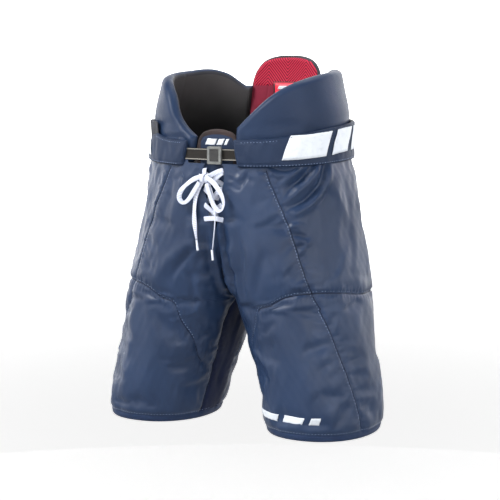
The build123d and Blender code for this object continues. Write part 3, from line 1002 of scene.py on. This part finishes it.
def shell_spot(grids, phi, z):
    """Points and normals of one half's cloth at angles and heights."""
    grid_phi, grid_z, points, normals, first_row = grids
    middle = grid_phi.shape[1] // 2
    rows_up, columns = np.arange(first_row, len(grid_z)), np.arange(grid_phi.shape[1])
    column = np.full(phi.shape, float(middle))
    for _ in range(2):
        row = np.array([np.interp(h, grid_z[first_row:, int(c)], rows_up)
                        for h, c in zip(z, column)])
        column = np.array([np.interp(a, grid_phi[int(r)], columns) for a, r in zip(phi, row)])
    r = np.clip(row.astype(int), 0, len(grid_z) - 2)
    c = np.clip(column.astype(int), 0, grid_z.shape[1] - 2)
    u, v = (column - c)[:, None], (row - r)[:, None]
    found = []
    for values in (points, normals):
        low = values[r, c] * (1 - u) + values[r, c + 1] * u
        high = values[r + 1, c] * (1 - u) + values[r + 1, c + 1] * u
        found.append(low * (1 - v) + high * v)
    return found


def sew(name, points, normals, pitch=5.2, length=3.6, width=0.45):
    """Short raised threads along a line of points on the cloth."""
    steps = np.linalg.norm(np.diff(points, axis=0), axis=1)
    at = np.concatenate([[0.0], np.cumsum(steps)])
    starts = np.arange(pitch, at[-1] - pitch, pitch)
    verts, faces = [], []
    for start in starts:
        ends = [np.array([np.interp(start + s, at, points[:, k]) for k in range(3)])
                for s in (0, length)]
        up = np.array([np.interp(start + length / 2, at, normals[:, k]) for k in range(3)])
        up /= max(np.linalg.norm(up), 1e-6)
        along = ends[1] - ends[0]
        side = np.cross(along / max(np.linalg.norm(along), 1e-6), up)
        middle = (ends[0] + ends[1]) / 2 + up * 0.25
        base = len(verts)
        ring = [middle + side * width, middle + up * 0.35, middle - side * width, middle - up * 0.5]
        verts += [ends[0] - up * 0.15, ends[1] - up * 0.15] + ring
        for k in range(4):
            j = (k + 1) % 4
            faces.append((base, base + 2 + j, base + 2 + k))
            faces.append((base + 1, base + 2 + k, base + 2 + j))
    mesh = bpy.data.meshes.new(name)
    mesh.from_pydata((np.array(verts) * MM).tolist(), [], faces)
    return add_object(name, mesh)


def seam_shade_strip(name, points, normals, width=0.9):
    """A thin dark strip at the bottom of a seam's groove, a narrow raised line: painted shade for
    the shadow inside the seam.
    """
    along = np.gradient(points, axis=0)
    side = np.cross(along, normals)
    side /= np.maximum(np.linalg.norm(side, axis=1, keepdims=True), 1e-6)
    profile = ((-width, -0.3), (-0.5 * width, 0.35), (0.5 * width, 0.35), (width, -0.3))
    return grid_object(name, np.stack([points + side * a + normals * b for a, b in profile], 0))


def sew_shell(side_name, thread, seam_shade_cloth, grids):
    """Rows of stitches beside the seams of one half, and over its hem."""
    side = SIDES[side_name]
    heights = np.linspace(HEM_BAND + 6, 432, 150)
    ring_phi = np.linspace(-135, 120, 150)
    hem_phi = np.linspace(-176, 176, 180)
    gap = 3.2 / girth(heights)
    rows = {
        "diagonal_seam": (line(DIAGONAL_SEAM, heights) - gap, heights),
        "rear_seam": (line(REAR_SEAM, heights) - gap, heights),
        "thigh_seam": (ring_phi, line(THIGH_SEAM, ring_phi) + 3.2),
        "hem": (hem_phi, np.full(hem_phi.shape, HEM_BAND + 2.6)),
    }
    inner_z = np.linspace(HEM_BAND, INNER_TOP, 90)
    ring_all = np.linspace(-106 if side > 0 else -148, 150, 220)
    # Lines for the thin dark strips of painted seam shade, along the bottom of each seam.
    seam_shade_lines = {
        "diagonal_seam": (line(DIAGONAL_SEAM, heights), heights),
        "rear_seam": (line(REAR_SEAM, heights), heights),
        "thigh_seam": (ring_all, line(THIGH_SEAM, ring_all)),
        "inner_front_seam": (-line(INNER_SEAM, inner_z), inner_z),
        "inner_rear_seam": (line(INNER_SEAM, inner_z), inner_z),
    }
    for label, (phi, z) in seam_shade_lines.items():
        points, normals = [to_side(found, side) for found in shell_spot(grids, phi, z)]
        if side < 0:
            points, normals = points[::-1], normals[::-1]
        obj = seam_shade_strip(f"seam_{label}_{side_name}", points, normals)
        finish_piece(obj, seam_shade_cloth, "shell_nylon")
        fold_over_leg(obj)
    for label, (phi, z) in rows.items():
        points, normals = [to_side(found, side) for found in shell_spot(grids, phi, z)]
        obj = sew(f"stitches_{label}_{side_name}", points, normals)
        finish_piece(obj, thread, "shell_nylon")
        fold_over_leg(obj)


def make_liner(side_name, material, red):
    """The mesh lining of one half, from the hem up to the waist."""
    z_rows = np.concatenate([np.arange(20, 430, 9.0), np.arange(430, 510, 6.0)])
    cols = 81
    z = np.repeat(z_rows[:, None], cols, 1)
    limit_front = -phi_at(np.where(z > 330, 34.0, 0.0), z)
    limit_rear = phi_at(0.0, z)
    limit_front = np.where(z > 436, phi_at(74.0, z), limit_front)
    phi = limit_front + (limit_rear - limit_front) * np.linspace(0, 1, cols)
    below = z < 436
    relief = 0.5 * ripple(phi, z, 31, 30.0) - 1.6 * ease(z, 430, 480)
    points = oval(phi, z, -LINER_DEPTH + relief)
    points[..., 0] = np.maximum(points[..., 0], 0.4)
    side = SIDES[side_name]
    leg = mirror_grid(points[below[:, 0]], side)[:, ::-1]
    back = mirror_grid(points[~below[:, 0]], side)[:, ::-1]
    obj = grid_object(f"leg_liner_mesh_{side_name}", leg)
    names = [f"thigh_liner_{side_name}"] + (["waist_liner"] if side > 0 else [])
    finish_piece(obj, material, "liner_mesh", None, names)
    fold_over_leg(obj)
    upper_row = int((z_rows[z_rows >= 436] < 478).sum())
    obj = grid_object(f"spine_liner_mesh_{side_name}", back[upper_row - 1:])
    finish_piece(obj, red, "kidney_red", "pelvis")
    obj = grid_object(f"waist_liner_mesh_{side_name}", back[:upper_row])
    finish_piece(obj, material, "liner_mesh", "pelvis")


def make_gusset(material):
    """The stretch strip under the crotch, front to back."""
    count = 22
    heights = np.concatenate([np.linspace(268, CROTCH_Z + 1, count),
                              np.linspace(CROTCH_Z + 1, 262, count)[1:]])
    ahead = np.arange(len(heights)) < count
    rows = []
    for across in np.linspace(-8.0, 8.0, 9):
        angle = phi_at(abs(across) * 0.4, heights)
        place = oval(np.where(ahead, -angle, angle), heights, 0.0)
        place[:, 0] = across
        place[:, 2] = heights - 1.2 - 0.012 * across**2
        rows.append(place)
    grid = np.stack(rows, 0)
    obj = grid_object("crotch_gusset_cloth", grid)
    thicken(obj, 0.0012)
    finish_piece(obj, material, "stretch_panel", "pelvis", ["crotch_gusset"])


def thicken(obj, amount):
    solid = obj.modifiers.new("thickness", "SOLIDIFY")
    solid.thickness = amount
    solid.offset = 0.0


# ================= padded pieces =================
def edge_steps(radius, count=6):
    """Distances from an edge, close together where the pad rounds over."""
    turn = np.linspace(0, math.pi / 2, count + 1)
    return radius * (1 - np.cos(turn))


def rounded_span(length, radius, pitch):
    """Positions from 0 to length, closer together near both ends."""
    steps = edge_steps(radius)
    count = max(3, int((length - 2 * radius) / pitch))
    middle = np.linspace(radius, length - radius, count + 1)
    return np.concatenate([steps, middle[1:-1], (length - steps)[::-1]])


def rim(distance, radius):
    """How full a pad is at a distance from its edge, 0 to 1."""
    near = 1 - np.clip(distance / radius, 0, 1)
    return np.sqrt(np.maximum(1 - near**2, 0))


def pad_angle(first, last, reach):
    """Turns positions from 0 to reach along a pad into angles from first to last."""
    def phi_of(u):
        return first + (last - first) * u / reach
    return phi_of


def pad_grids(place, across, upward, low, high, half, radius, crown, bulge):
    """Outer and inner faces of a pad. place(u, z, out) gives points, low and high are its bottom
    and top at each u, and bulge(u, z, full) is what each face gets on top of its thickness."""
    share = rounded_span(1.0, radius / upward, 6.0 / upward)[:, None]
    u = np.broadcast_to(across, (len(share), len(across)))
    height = high - low
    z = low + share * height
    slope = np.gradient(high, across)
    flatten = 1 / np.sqrt(1 + np.clip(slope, -3, 3) ** 2)
    to_top = (high - z) * flatten
    to_bottom = z - low
    ends = np.minimum(u - across[0], across[-1] - u)
    full = rim(to_top, radius) * rim(to_bottom, radius) * rim(ends, radius)
    belly = crown * np.sin(math.pi * share) * np.sin(
        math.pi * (u - across[0]) / (across[-1] - across[0]))
    thick = half * full + belly
    outer_extra, inner_extra = bulge(u, z, full)
    return place(u, z, thick + outer_extra), place(u, z, -thick + inner_extra)


WING_EDGE = {
    "left": [(-87, 479), (-83, 487), (-73, 515), (-59, 546), (-45, 565), (-29, 577), (-10, 585),
             (10, 589), (40, 590), (50, 583), (58, 572), (64, 563)],
    "right": [(-80, 479), (-74, 487), (-62, 515), (-53, 546), (-43, 566), (-29, 578), (-10, 585),
              (10, 589), (40, 590), (50, 583), (58, 572), (64, 563)],
}
WING_FOOT = 441.0
WING_MID = -12.0
WING_HALF = 9.3
WING_TOP = 613.0
WING_REACH = {"left": (36.0, 70.0), "right": (44.0, 61.5)}   # X at its front and at its rear
WING_CREASES = [([(-62, 506), (-50, 503), (-38, 506)], 5.0, -1.6),
                ([(-70, 492), (-60, 489), (-46, 492)], 4.0, 1.4),
                ([(-34, 512), (-28, 518)], 4.0, 1.4),
                ([(-20, 513), (0, 512), (20, 514)], 4.0, -0.8)]
COVER_OVER, BINDING_ROWS = 3, 2     # rows that the cover takes past the rim, then the binding


def make_wing(side_name, cover_cloth, lining_cloth, binding_cloth):
    side = SIDES[side_name]
    front_x, rear_x = WING_REACH[side_name]
    first, last = -float(phi_at(front_x, 478.0)), float(phi_at(rear_x, 560.0))
    reach = (last - first) * 2.9
    across = rounded_span(reach, 9.0, 5.0)
    phi_of = pad_angle(first, last, reach)
    high = line(WING_EDGE[side_name], phi_of(across))
    low = np.full(across.shape, WING_FOOT)
    seed = 41 if side > 0 else 47

    def place(u, z, out):
        return oval(phi_of(u), z, WING_MID + out)

    def bulge(u, z, full):
        phi = phi_of(u)
        folds = fold_relief(phi, z, WING_CREASES)
        outer = full * (0.5 * ripple(phi, z, seed, 70.0) + folds + 0.6)
        seams = np.exp(-((np.abs(phi + 46) * girth(z) / 2.0) ** 2)) + 0.8 * np.exp(
            -((np.abs(phi - 4) * girth(z) / 2.0) ** 2))
        inner = full * (0.4 * ripple(phi, z, seed + 1, 60.0) + 1.6 * seams)
        return outer, inner

    outer, inner = pad_grids(place, across, 110.0, low, high, WING_HALF, 9.0, 1.0, bulge)
    for face in (outer, inner):
        face[..., 2] = np.minimum(face[..., 2], WING_TOP)
    loop, normals = closed_pad(outer, inner)
    loop, normals = mirror_grid(loop, side), mirror_grid(normals, side)
    count = len(loop) - 1
    row = np.arange(count)[:, None] + np.zeros((count, outer.shape[1] - 1), int)
    cover_end = len(outer) - 1 + COVER_OVER
    cover = row < cover_end
    lining = row >= cover_end + BINDING_ROWS
    binding = ~cover & ~lining
    obj = grid_object(f"hip_wing_cover_{side_name}", loop, cover, normals)
    finish_piece(obj, cover_cloth, "shell_nylon", "pelvis",
                 [f"wing_cover_{side_name}", f"wing_foam_{side_name}"])
    obj = grid_object(f"hip_wing_binding_{side_name}", loop, binding, normals)
    finish_piece(obj, binding_cloth, "liner_mesh", "pelvis")
    obj = grid_object(f"hip_wing_lining_{side_name}", loop, lining, normals)
    finish_piece(obj, lining_cloth, "liner_mesh", "pelvis", [f"wing_lining_{side_name}"])


KIDNEY_DOME = [(-66, 572), (-63, 584), (-57, 596), (-49, 605), (-38, 611), (-24, 614.6), (0, 615.8),
               (24, 614.6), (38, 611), (49, 605), (57, 596), (63, 584), (66, 572)]
KIDNEY_FOOT = 508.5
KIDNEY_HALF = 66.0
KIDNEY_X = 3.5              # the pad sits a little to the wearer's left
KIDNEY_LEAN = 13.0          # how far its top leans back
RIB_PITCH, RIB_PEAK, RIB_LEAN = 5.6, 36.0, 1.15


def rear_place(mid):
    """Places points on the rear wall: u is X, out is from the middle of the piece."""
    def place(u, z, out):
        points = oval(phi_at(np.abs(u), z), z, mid + out)
        points[..., 0] = u + KIDNEY_X
        points[..., 1] += KIDNEY_LEAN * ease(z, 500, 600)
        return points
    return place


def kidney_ribs(x, z):
    """Raised slanting ribs in chevrons on the upper part of the pad's inner face."""
    phase = (z + RIB_LEAN * np.abs(np.abs(x) - RIB_PEAK)) / RIB_PITCH
    rib = 1 - np.abs((phase % 1.0) - 0.5) * 2
    return rib * ease(z, 563, 566)


def make_kidney(cover_cloth, red, dark_red, binding_cloth):
    across = rounded_span(2 * KIDNEY_HALF, 7.5, 1.6) - KIDNEY_HALF
    high = line(KIDNEY_DOME, across)
    low = np.full(across.shape, KIDNEY_FOOT)
    share = rounded_span(1.0, 7.5 / 104, 1.6 / 104)[:, None]
    z = low + share * (high - low)
    grid_u = np.broadcast_to(across, z.shape)
    slope = np.clip(np.gradient(high, across), -3, 3)
    to_top = (high - z) / np.sqrt(1 + slope**2)
    ends = KIDNEY_HALF - np.abs(grid_u)
    full = rim(to_top, 7.5) * rim(z - low, 2.0) * rim(ends, 4.0)
    place = rear_place(-9.2)
    nearest = np.minimum(to_top, ends)
    inside = ease(nearest, 4.0, 8.0)
    ribs = kidney_ribs(grid_u, z) * inside
    channel = 1.5 * np.exp(-(((np.abs(grid_u) - 34.5) / 1.2) ** 2)) * (1 - ease(z, 563, 566))
    channel += 1.2 * np.exp(-(((z - 563.5) / 1.4) ** 2))
    outer = place(grid_u, z, 8.2 * full + 1.6 * inside)
    inner = place(grid_u, z, -7.4 * full - 1.5 * inside - 1.7 * ribs + channel * inside)
    loop, normals = closed_pad(outer[:, ::-1], inner[:, ::-1])
    middle_z = (z[:-1, :-1] + z[1:, 1:]) / 2
    near = (nearest[:-1, :-1] + nearest[1:, 1:]) / 2
    rim_band = (near < 3.4)[::-1]
    plain = (middle_z < 563.5)[::-1]
    blank = np.zeros(near.shape, bool)
    cover = np.concatenate([~blank, blank], 0)
    plain_red, ribbed, edging = [
        np.concatenate([blank, mask], 0)[:, ::-1]
        for mask in (plain & ~rim_band, ~plain & ~rim_band, rim_band)]
    obj = grid_object("kidney_pad_cover", loop, cover, normals)
    finish_piece(obj, cover_cloth, "shell_nylon", "kidney_flap",
                 ["kidney_cover", "kidney_foam"])
    obj = grid_object("kidney_pad_ribbed_lining", loop, ribbed, normals)
    finish_piece(obj, red, "kidney_red", "kidney_flap", ["kidney_lining"])
    obj = grid_object("kidney_pad_plain_lining", loop, plain_red, normals)
    finish_piece(obj, dark_red, "kidney_red", "kidney_flap")
    obj = grid_object("kidney_pad_binding", loop, edging, normals)
    finish_piece(obj, binding_cloth, "liner_mesh", "kidney_flap")


def slab_grid(corner, size, depth, count=(14, 8)):
    """A thin pad standing in the X-Z plane: its rounded outer face as a grid."""
    u = np.linspace(-1, 1, count[0])
    v = np.linspace(-1, 1, count[1])
    gu, gv = np.meshgrid(u, v)
    x = corner[0] + gu * size[0] / 2
    z = corner[2] + gv * size[1] / 2
    edge = np.minimum(1 - np.abs(gu), (1 - np.abs(gv)) * size[1] / size[0])
    y = corner[1] - depth * ease(edge, 0.0, 0.06)
    return np.stack([x, y, z], -1)


def make_label(red_film, black, white):
    low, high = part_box("kidney_label")
    centre = np.array((low + high) / 2) / MM + np.array([KIDNEY_X, KIDNEY_LEAN * 0.62, 0.0])
    size = (np.array(high - low) / MM)[[0, 2]]
    back = (centre[0], centre[1] + 1.0, centre[2])
    obj = grid_object("kidney_label_border", slab_grid(back, size, 1.4))
    finish_piece(obj, black, "label_red", "kidney_flap")
    thicken(obj, 0.0006)
    front = (centre[0], centre[1] + 0.3, centre[2])
    obj = grid_object("kidney_label_face", slab_grid(front, size - 3.4, 1.2))
    finish_piece(obj, red_film, "label_red", "kidney_flap", ["kidney_label"])
    thicken(obj, 0.0006)
    parts = []
    for start, width in ((-13.0, 17.0), (8.0, 5.0)):
        u, v = np.meshgrid(np.linspace(0, 1, 8), np.linspace(0, 1, 5))
        x = centre[0] + start + u * width + v * 3.0
        z = centre[2] + 1.0 + v * 6.0
        parts.append(grid_object("bar", np.stack([x, np.full(x.shape, centre[1] - 1.7), z], -1)))
    obj = join("kidney_label_bars", parts)
    thicken(obj, 0.0004)
    finish_piece(obj, white, "lace_white", "kidney_flap")


TONGUE_EDGE = [(-40, 468), (-36, 480), (-30, 488), (-16, 494.5), (0, 496.5), (16, 494.5), (30, 488),
               (36, 480), (40, 468)]
TONGUE_MID = -11.0


def front_place(mid):
    """Places points on the front wall: u is X, out is from the middle of the piece."""
    def place(u, z, out):
        points = oval(-phi_at(np.abs(u), z), z, mid + out)
        points[..., 0] = u
        return points
    return place


def make_tongue(cloth, binding_cloth, white):
    half_width = 39.5
    across = rounded_span(2 * half_width, 3.5, 2.5) - half_width
    high = line(TONGUE_EDGE, across)
    low = np.full(across.shape, 354.0)
    share = rounded_span(1.0, 3.5 / 140, 2.4 / 140)[:, None]
    z = low + share * (high - low)
    u = np.broadcast_to(across, z.shape)
    width = 1 - 0.2 * (1 - ease(z, 354, 470))
    x = u * width
    slope = np.clip(np.gradient(high, across), -3, 3)
    to_top = (high - z) / np.sqrt(1 + slope**2)
    ends = half_width - np.abs(u)
    full = rim(to_top, 3.5) * rim(z - low, 3.5) * rim(ends, 3.5)
    nearest = np.minimum(to_top, ends)
    quilt = -0.9 * np.exp(-(((nearest - 8.0) / 1.2) ** 2))
    place = front_place(TONGUE_MID)
    outer = place(x, z, 3.8 * full + 0.8 * ease(nearest, 8, 20) + quilt * full)
    inner = place(x, z, -3.8 * full)
    loop, normals = closed_pad(outer, inner)
    near = (nearest[:-1, :-1] + nearest[1:, 1:]) / 2
    height = (z[:-1, :-1] + z[1:, 1:]) / 2
    band = (near < 7.4) & (height > 440)
    edging = np.concatenate([band, band[::-1]], 0)
    obj = grid_object("tongue_face", loop, ~edging, normals)
    finish_piece(obj, cloth, "shell_nylon", "tongue", ["fly_tongue"])
    obj = grid_object("tongue_binding", loop, edging, normals)
    finish_piece(obj, binding_cloth, "liner_mesh", "tongue")
    marks = split_bar("tongue_mark", outer, (x, z), (-21.0, 471.0), (44.0, 10.0), 0.5)
    finish_piece(marks, white, "lace_white", "tongue")


# ================= marks: three slanted bars, each shorter than the last =================
def sample(grid, coordinates, want_u, want_v):
    """Points of a grid where its own two coordinates take the wanted values."""
    coord_u, coord_v = coordinates
    flat = np.stack([coord_u.reshape(-1), coord_v.reshape(-1)], -1)
    points = grid.reshape(-1, 3)
    wanted = np.stack([want_u.reshape(-1), want_v.reshape(-1)], -1)
    result = np.zeros((len(wanted), 3))
    for k, target in enumerate(wanted):
        distance = ((flat - target) ** 2).sum(1)
        nearest = np.argpartition(distance, 6)[:6]
        weight = 1 / (distance[nearest] + 0.05)
        result[k] = (points[nearest] * weight[:, None]).sum(0) / weight.sum()
    return result.reshape(*want_u.shape, 3)


MARK_LIFT = 1.2             # how far the belt's marks stand off the cloth, in millimetres
MARK_BARS = ((0.0, 0.46), (0.54, 0.80), (0.88, 1.0))


def split_bar(name, grid, coordinates, corner, size, lift, slant=0.45, side=1.0):
    """The generic mark laid on a cloth grid: corner and size are in the grid's coordinates."""
    parts = []
    for start, stop in MARK_BARS:
        columns = max(6, int((stop - start) * size[0] / 2.2))
        u, v = np.meshgrid(np.linspace(start, stop, columns), np.linspace(0, 1, 9))
        lean = slant * size[1] * v
        want_u = corner[0] + u * (size[0] - slant * size[1]) + lean
        want_v = corner[1] + v * size[1]
        points = sample(grid, coordinates, want_u, want_v)
        normal = grid_normals(points)
        points = soften(points, 2) + normal * lift
        parts.append(grid_object("bar", mirror_grid(points, side)))
    obj = join(name, parts)
    smooth(obj.data)
    thicken(obj, 0.0005)
    return obj


# ================= the belt =================
SLEEVE_LOW = [(-150, 435), (-90, 438), (30, 445), (160, 447)]
SLEEVES = {                 # X at the front end, top edge, random seed, and the mark's place
    "left": {"start": 38.0, "seed": 61, "mark_angle": -53, "mark_foot": 449.0,
             "mark_size": (195.0, 38.0), "mark_drop": 14.0,
             "high": [(-150, 479), (-115, 481), (-80, 490), (-45, 498), (0, 503), (40, 507),
                      (160, 511)]},
    "right": {"start": 52.0, "seed": 66, "mark_angle": -40, "mark_foot": 450.0,
              "mark_size": (150.0, 21.0), "mark_drop": 5.0,
              "high": [(-150, 478), (-100, 481), (-88, 486), (-60, 478), (-24, 484), (-18, 506),
                       (40, 509), (160, 511)]},
}
SLEEVE_FOLDS = [([(-72, 470), (-71, 445)], 5.0, 1.2), ([(-58, 476), (-57, 448)], 7.0, -0.9),
                ([(-40, 478), (-39, 450)], 9.0, 0.8)]


def make_sleeve(side_name, cloth, white, thread):
    side, sleeve = SIDES[side_name], SLEEVES[side_name]
    first, last = -float(phi_at(sleeve["start"], 458.0)), float(phi_at(1.0, 478.0))
    reach = (last - first) * 2.75
    across = rounded_span(reach, 3.5, 2.6)
    phi_of = pad_angle(first, last, reach)
    y = oval(phi_of(across), 470.0)[:, 1] - SHIFT_Y
    low = line(SLEEVE_LOW, y)
    high = line(sleeve["high"], y)
    share = rounded_span(1.0, 3.5 / 55, 2.4 / 55)[:, None]
    z = low + share * (high - low)
    u = np.broadcast_to(across, z.shape)
    phi = phi_of(u)
    ends = np.minimum(u, reach - u)
    full = rim(high - z, 3.5) * rim(z - low, 3.5) * rim(ends, 3.5)
    belly = 1.7 * np.sin(math.pi * share) ** 0.7 * full
    stitch = (-0.8 * np.exp(-(((high - z - 5.0) / 1.1) ** 2))
              - 0.8 * np.exp(-(((z - low - 4.5) / 1.1) ** 2)))
    wave = 0.45 * ripple(phi, z, sleeve["seed"], 38.0) + 0.2 * ripple(phi, z, 71, 15.0)
    relief = full * (wave + stitch + fold_relief(phi, z, SLEEVE_FOLDS))
    settled = np.zeros((*z.shape, 3))
    rest = oval(phi, z, 4.6)
    if side > 0:
        pinned = (full < 0.98) | ((u > 118) & (u < 330) & (z > 446) & (z < 500))
        coarse = rest[::2, ::2]
        shift = settle(coarse, pinned[::2, ::2], 0.03, 0.8)
        shift = finer(shift, 2, 2)
        settled[: shift.shape[0], : shift.shape[1]] = 0.5 * shift[: z.shape[0], : z.shape[1]]
    outer = oval(phi, z, 4.3 + 3.1 * full + belly + relief) + settled
    inner = oval(phi, z, 4.3 - 2.6 * full)
    loop, normals = [mirror_grid(grid, side) for grid in closed_pad(outer, inner)]
    obj = grid_object(f"belt_sleeve_cloth_{side_name}", loop, None, normals)
    finish_piece(obj, cloth, "shell_nylon", "pelvis", [f"belt_sleeve_{side_name}"])
    mark_u = float(np.interp(sleeve["mark_angle"], phi_of(across), across))
    outward = grid_normals(outer)
    for label, height, end in (("low", 0.085, reach - 4), ("high", 0.9, mark_u)):
        row = int(np.argmin(np.abs(share - height)))
        sewn = (across > 4) & (across < end)
        obj = sew(f"stitches_belt_{label}_{side_name}",
                  to_side(outer[row, sewn], side), to_side(outward[row, sewn], side))
        finish_piece(obj, thread, "shell_nylon", "pelvis")
    size = sleeve["mark_size"]
    z_shift = z - sleeve["mark_drop"] * ease(u, mark_u, mark_u + size[0])
    mark = split_bar(f"belt_mark_{side_name}", outer, (u, z_shift),
                     (mark_u, sleeve["mark_foot"]), size, MARK_LIFT, side=side)
    finish_piece(mark, white, "lace_white", "pelvis")


def make_side_mesh(material):
    """The ribbed black patch over the belt on the wearer's right."""
    first, last = -44.0, -9.0
    reach = (last - first) * 2.9
    across = rounded_span(reach, 3.0, 1.0)
    phi_of = pad_angle(first, last, reach)
    y = oval(phi_of(across), 490.0)[:, 1] - SHIFT_Y
    low = line([(-88, 484), (-60, 473), (-22, 479)], y)
    high = np.full(across.shape, 508.0) - 0.05 * np.abs(y + 50)
    share = rounded_span(1.0, 3.0 / 34, 1.5 / 34)[:, None]
    z = low + share * (high - low)
    u = np.broadcast_to(across, z.shape)
    phi = phi_of(u)
    ends = np.minimum(u, reach - u)
    full = rim(high - z, 3.0) * rim(z - low, 3.0) * rim(ends, 3.0)
    ribs = 0.9 * np.sin(2 * math.pi * u / 4.6) * ease(ends, 2, 6)
    outer = oval(phi, z, 3.6 + 2.6 * full + ribs * full)
    inner = oval(phi, z, 4.3 - 2.6 * full)
    loop, normals = [mirror_grid(grid, -1.0) for grid in closed_pad(outer, inner)]
    obj = grid_object("belt_side_ribbed_patch", loop, None, normals)
    finish_piece(obj, material, "stretch_panel", "pelvis", ["belt_side_mesh"])


STRAP_Z, STRAP_WIDTH, STRAP_ROWS = 456.0, 19.0, 27


def make_strap(name, x0, x1, cloth, edge_cloth):
    """Woven webbing across the front, with raised pale selvedges."""
    count = int((x1 - x0) / 0.8) + 1
    v = np.linspace(-1, 1, STRAP_ROWS)[:, None]
    z = np.broadcast_to(STRAP_Z + v * STRAP_WIDTH / 2, (STRAP_ROWS, count))
    x = np.broadcast_to(np.linspace(x0, x1, count), z.shape)
    edge = 1 - np.abs(v)
    body = rim(edge * STRAP_WIDTH / 2, 0.8)
    rib = 0.12 * np.sin(2 * math.pi * x / 1.6)
    selvedge = (edge < 0.2) & (edge > 0.06)
    lift = 2.7 + 0.9 * body + rib + np.where(selvedge, 0.25, 0.0)
    under = 2.7 - 0.9 * body
    outer = np.stack([x, front_y(x, z) - lift, z], -1)
    inner = np.stack([x, front_y(x, z) - under, z], -1)
    loop = np.concatenate([outer, inner[::-1]], 0)
    stripe = np.abs(v[:-1, 0] + 1 / (STRAP_ROWS - 1))
    pale = (stripe > 0.76) & (stripe < 0.93)
    pale = np.concatenate([pale, [False] * STRAP_ROWS])[:, None] & np.ones((1, count - 1), bool)
    obj = grid_object(name + "_weave", loop, ~pale)
    finish_piece(obj, cloth, "webbing_dark", "pelvis", [name])
    obj = grid_object(name + "_selvedge", loop, pale)
    finish_piece(obj, edge_cloth, "webbing_dark", "pelvis")


def restyle(name, material):
    """A CAD node keeps its shape and takes a better material."""
    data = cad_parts[name].data
    data.materials.clear()
    data.materials.append(material)


# ================= build =================
MM_PER_DEGREE = 1.65        # along the leg's section near the hem, for the mark there

make_camera()
white_braid = braid()
make_laces(white_braid, moulded_plastic("aglet", srgb(176, 181, 194), srgb(204, 208, 218), 0.25))
make_lacing(white_braid)
make_knot(white_braid)
make_studio()
make_floor()

navy = woven_nylon("navy_nylon", srgb(22, 35, 57), srgb(29, 44, 69), 0.36, 0.2)
navy_wing = woven_nylon("navy_wing_cloth", srgb(21, 33, 54), srgb(28, 42, 65))
navy_belt = woven_nylon("navy_belt_cloth", srgb(19, 30, 49), srgb(26, 38, 59), 0.5)
navy_hem = woven_nylon("navy_hem_cloth", srgb(23, 35, 58), srgb(30, 43, 68), 0.5)
purple = woven_nylon("inner_thigh_cloth", srgb(14, 21, 42), srgb(21, 29, 54), 0.6, 0.1)
gusset_cloth = knitted_lining("gusset_knit", srgb(12, 15, 26), srgb(20, 23, 36))
lining = knitted_lining("dark_lining", srgb(14, 14, 16), srgb(38, 38, 41))
wing_lining = wing_knit_painted_shade()
thread = sewing_thread()
# Near-black navy for the strips in the seams: painted shade where the seams fold in.
seam_shade_cloth = woven_nylon("painted_seam_shade_cloth", srgb(9, 14, 27), srgb(15, 21, 38), 0.6, 0.1)
binding = knitted_lining("dark_binding", srgb(16, 17, 22), srgb(34, 36, 44), 0.6)
brown_binding = knitted_lining("tongue_binding_knit", srgb(24, 18, 18), srgb(42, 31, 30), 0.75)
film = printed_film("white_print", srgb(162, 167, 174), srgb(174, 179, 186))
black_film = printed_film("black_edge", srgb(16, 12, 16), srgb(36, 26, 30))
red_film = printed_film("red_print", srgb(176, 4, 34), srgb(196, 12, 44))
dark_red = knitted_lining("plain_red_knit", srgb(84, 10, 30), srgb(112, 22, 44))

for side_name in SIDES:
    cloth_grid = make_shell(side_name, navy, purple, navy_hem, thread, seam_shade_cloth)
    make_liner(side_name, lining, dark_red)
    make_wing(side_name, navy_wing, wing_lining, binding)
    make_sleeve(side_name, navy_belt, film, thread)
    if side_name == "left":
        fine_phi, fine_z, _ = shell_grid(spread(shell_rows(), FINE), (SHELL_COLUMNS - 1) * FINE + 1)
        near_hem = (fine_z[:, 0] > 14) & (fine_z[:, 0] < 60)
        mark = split_bar("hem_mark_left", cloth_grid[near_hem],
                         (fine_phi[near_hem] * MM_PER_DEGREE, fine_z[near_hem]),
                         (-146.0 * MM_PER_DEGREE, 24.5), (82.0 * MM_PER_DEGREE, 17.0), 0.5)
        finish_piece(mark, film, "lace_white", "left_leg")

make_gusset(gusset_cloth)
ribbed_red = red_knit(KIDNEY_X * MM, RIB_PITCH * MM, RIB_PEAK * MM, RIB_LEAN)
make_kidney(navy_wing, ribbed_red, dark_red, binding)
make_label(red_film, black_film, film)
make_tongue(navy_belt, brown_binding, film)
make_side_mesh(ribbed_rubber())
strap_cloth, strap_edge = webbing(), webbing_edge()
make_strap("belt_strap_left", 14.5, 44.0, strap_cloth, strap_edge)
make_strap("belt_strap_right", -56.0, 13.5, strap_cloth, strap_edge)
restyle("belt_buckle_frame", moulded_plastic("buckle_plastic", srgb(70, 72, 71), srgb(92, 94, 92)))
# Near black: the plate's own dark plastic, darkened further as painted shade for the dark window
# that it fills.
restyle("belt_buckle_plate",
        moulded_plastic("buckle_plate_plastic", srgb(5, 5, 6), srgb(13, 13, 14), 0.6))
restyle("lace_eyelets", brushed_metal())
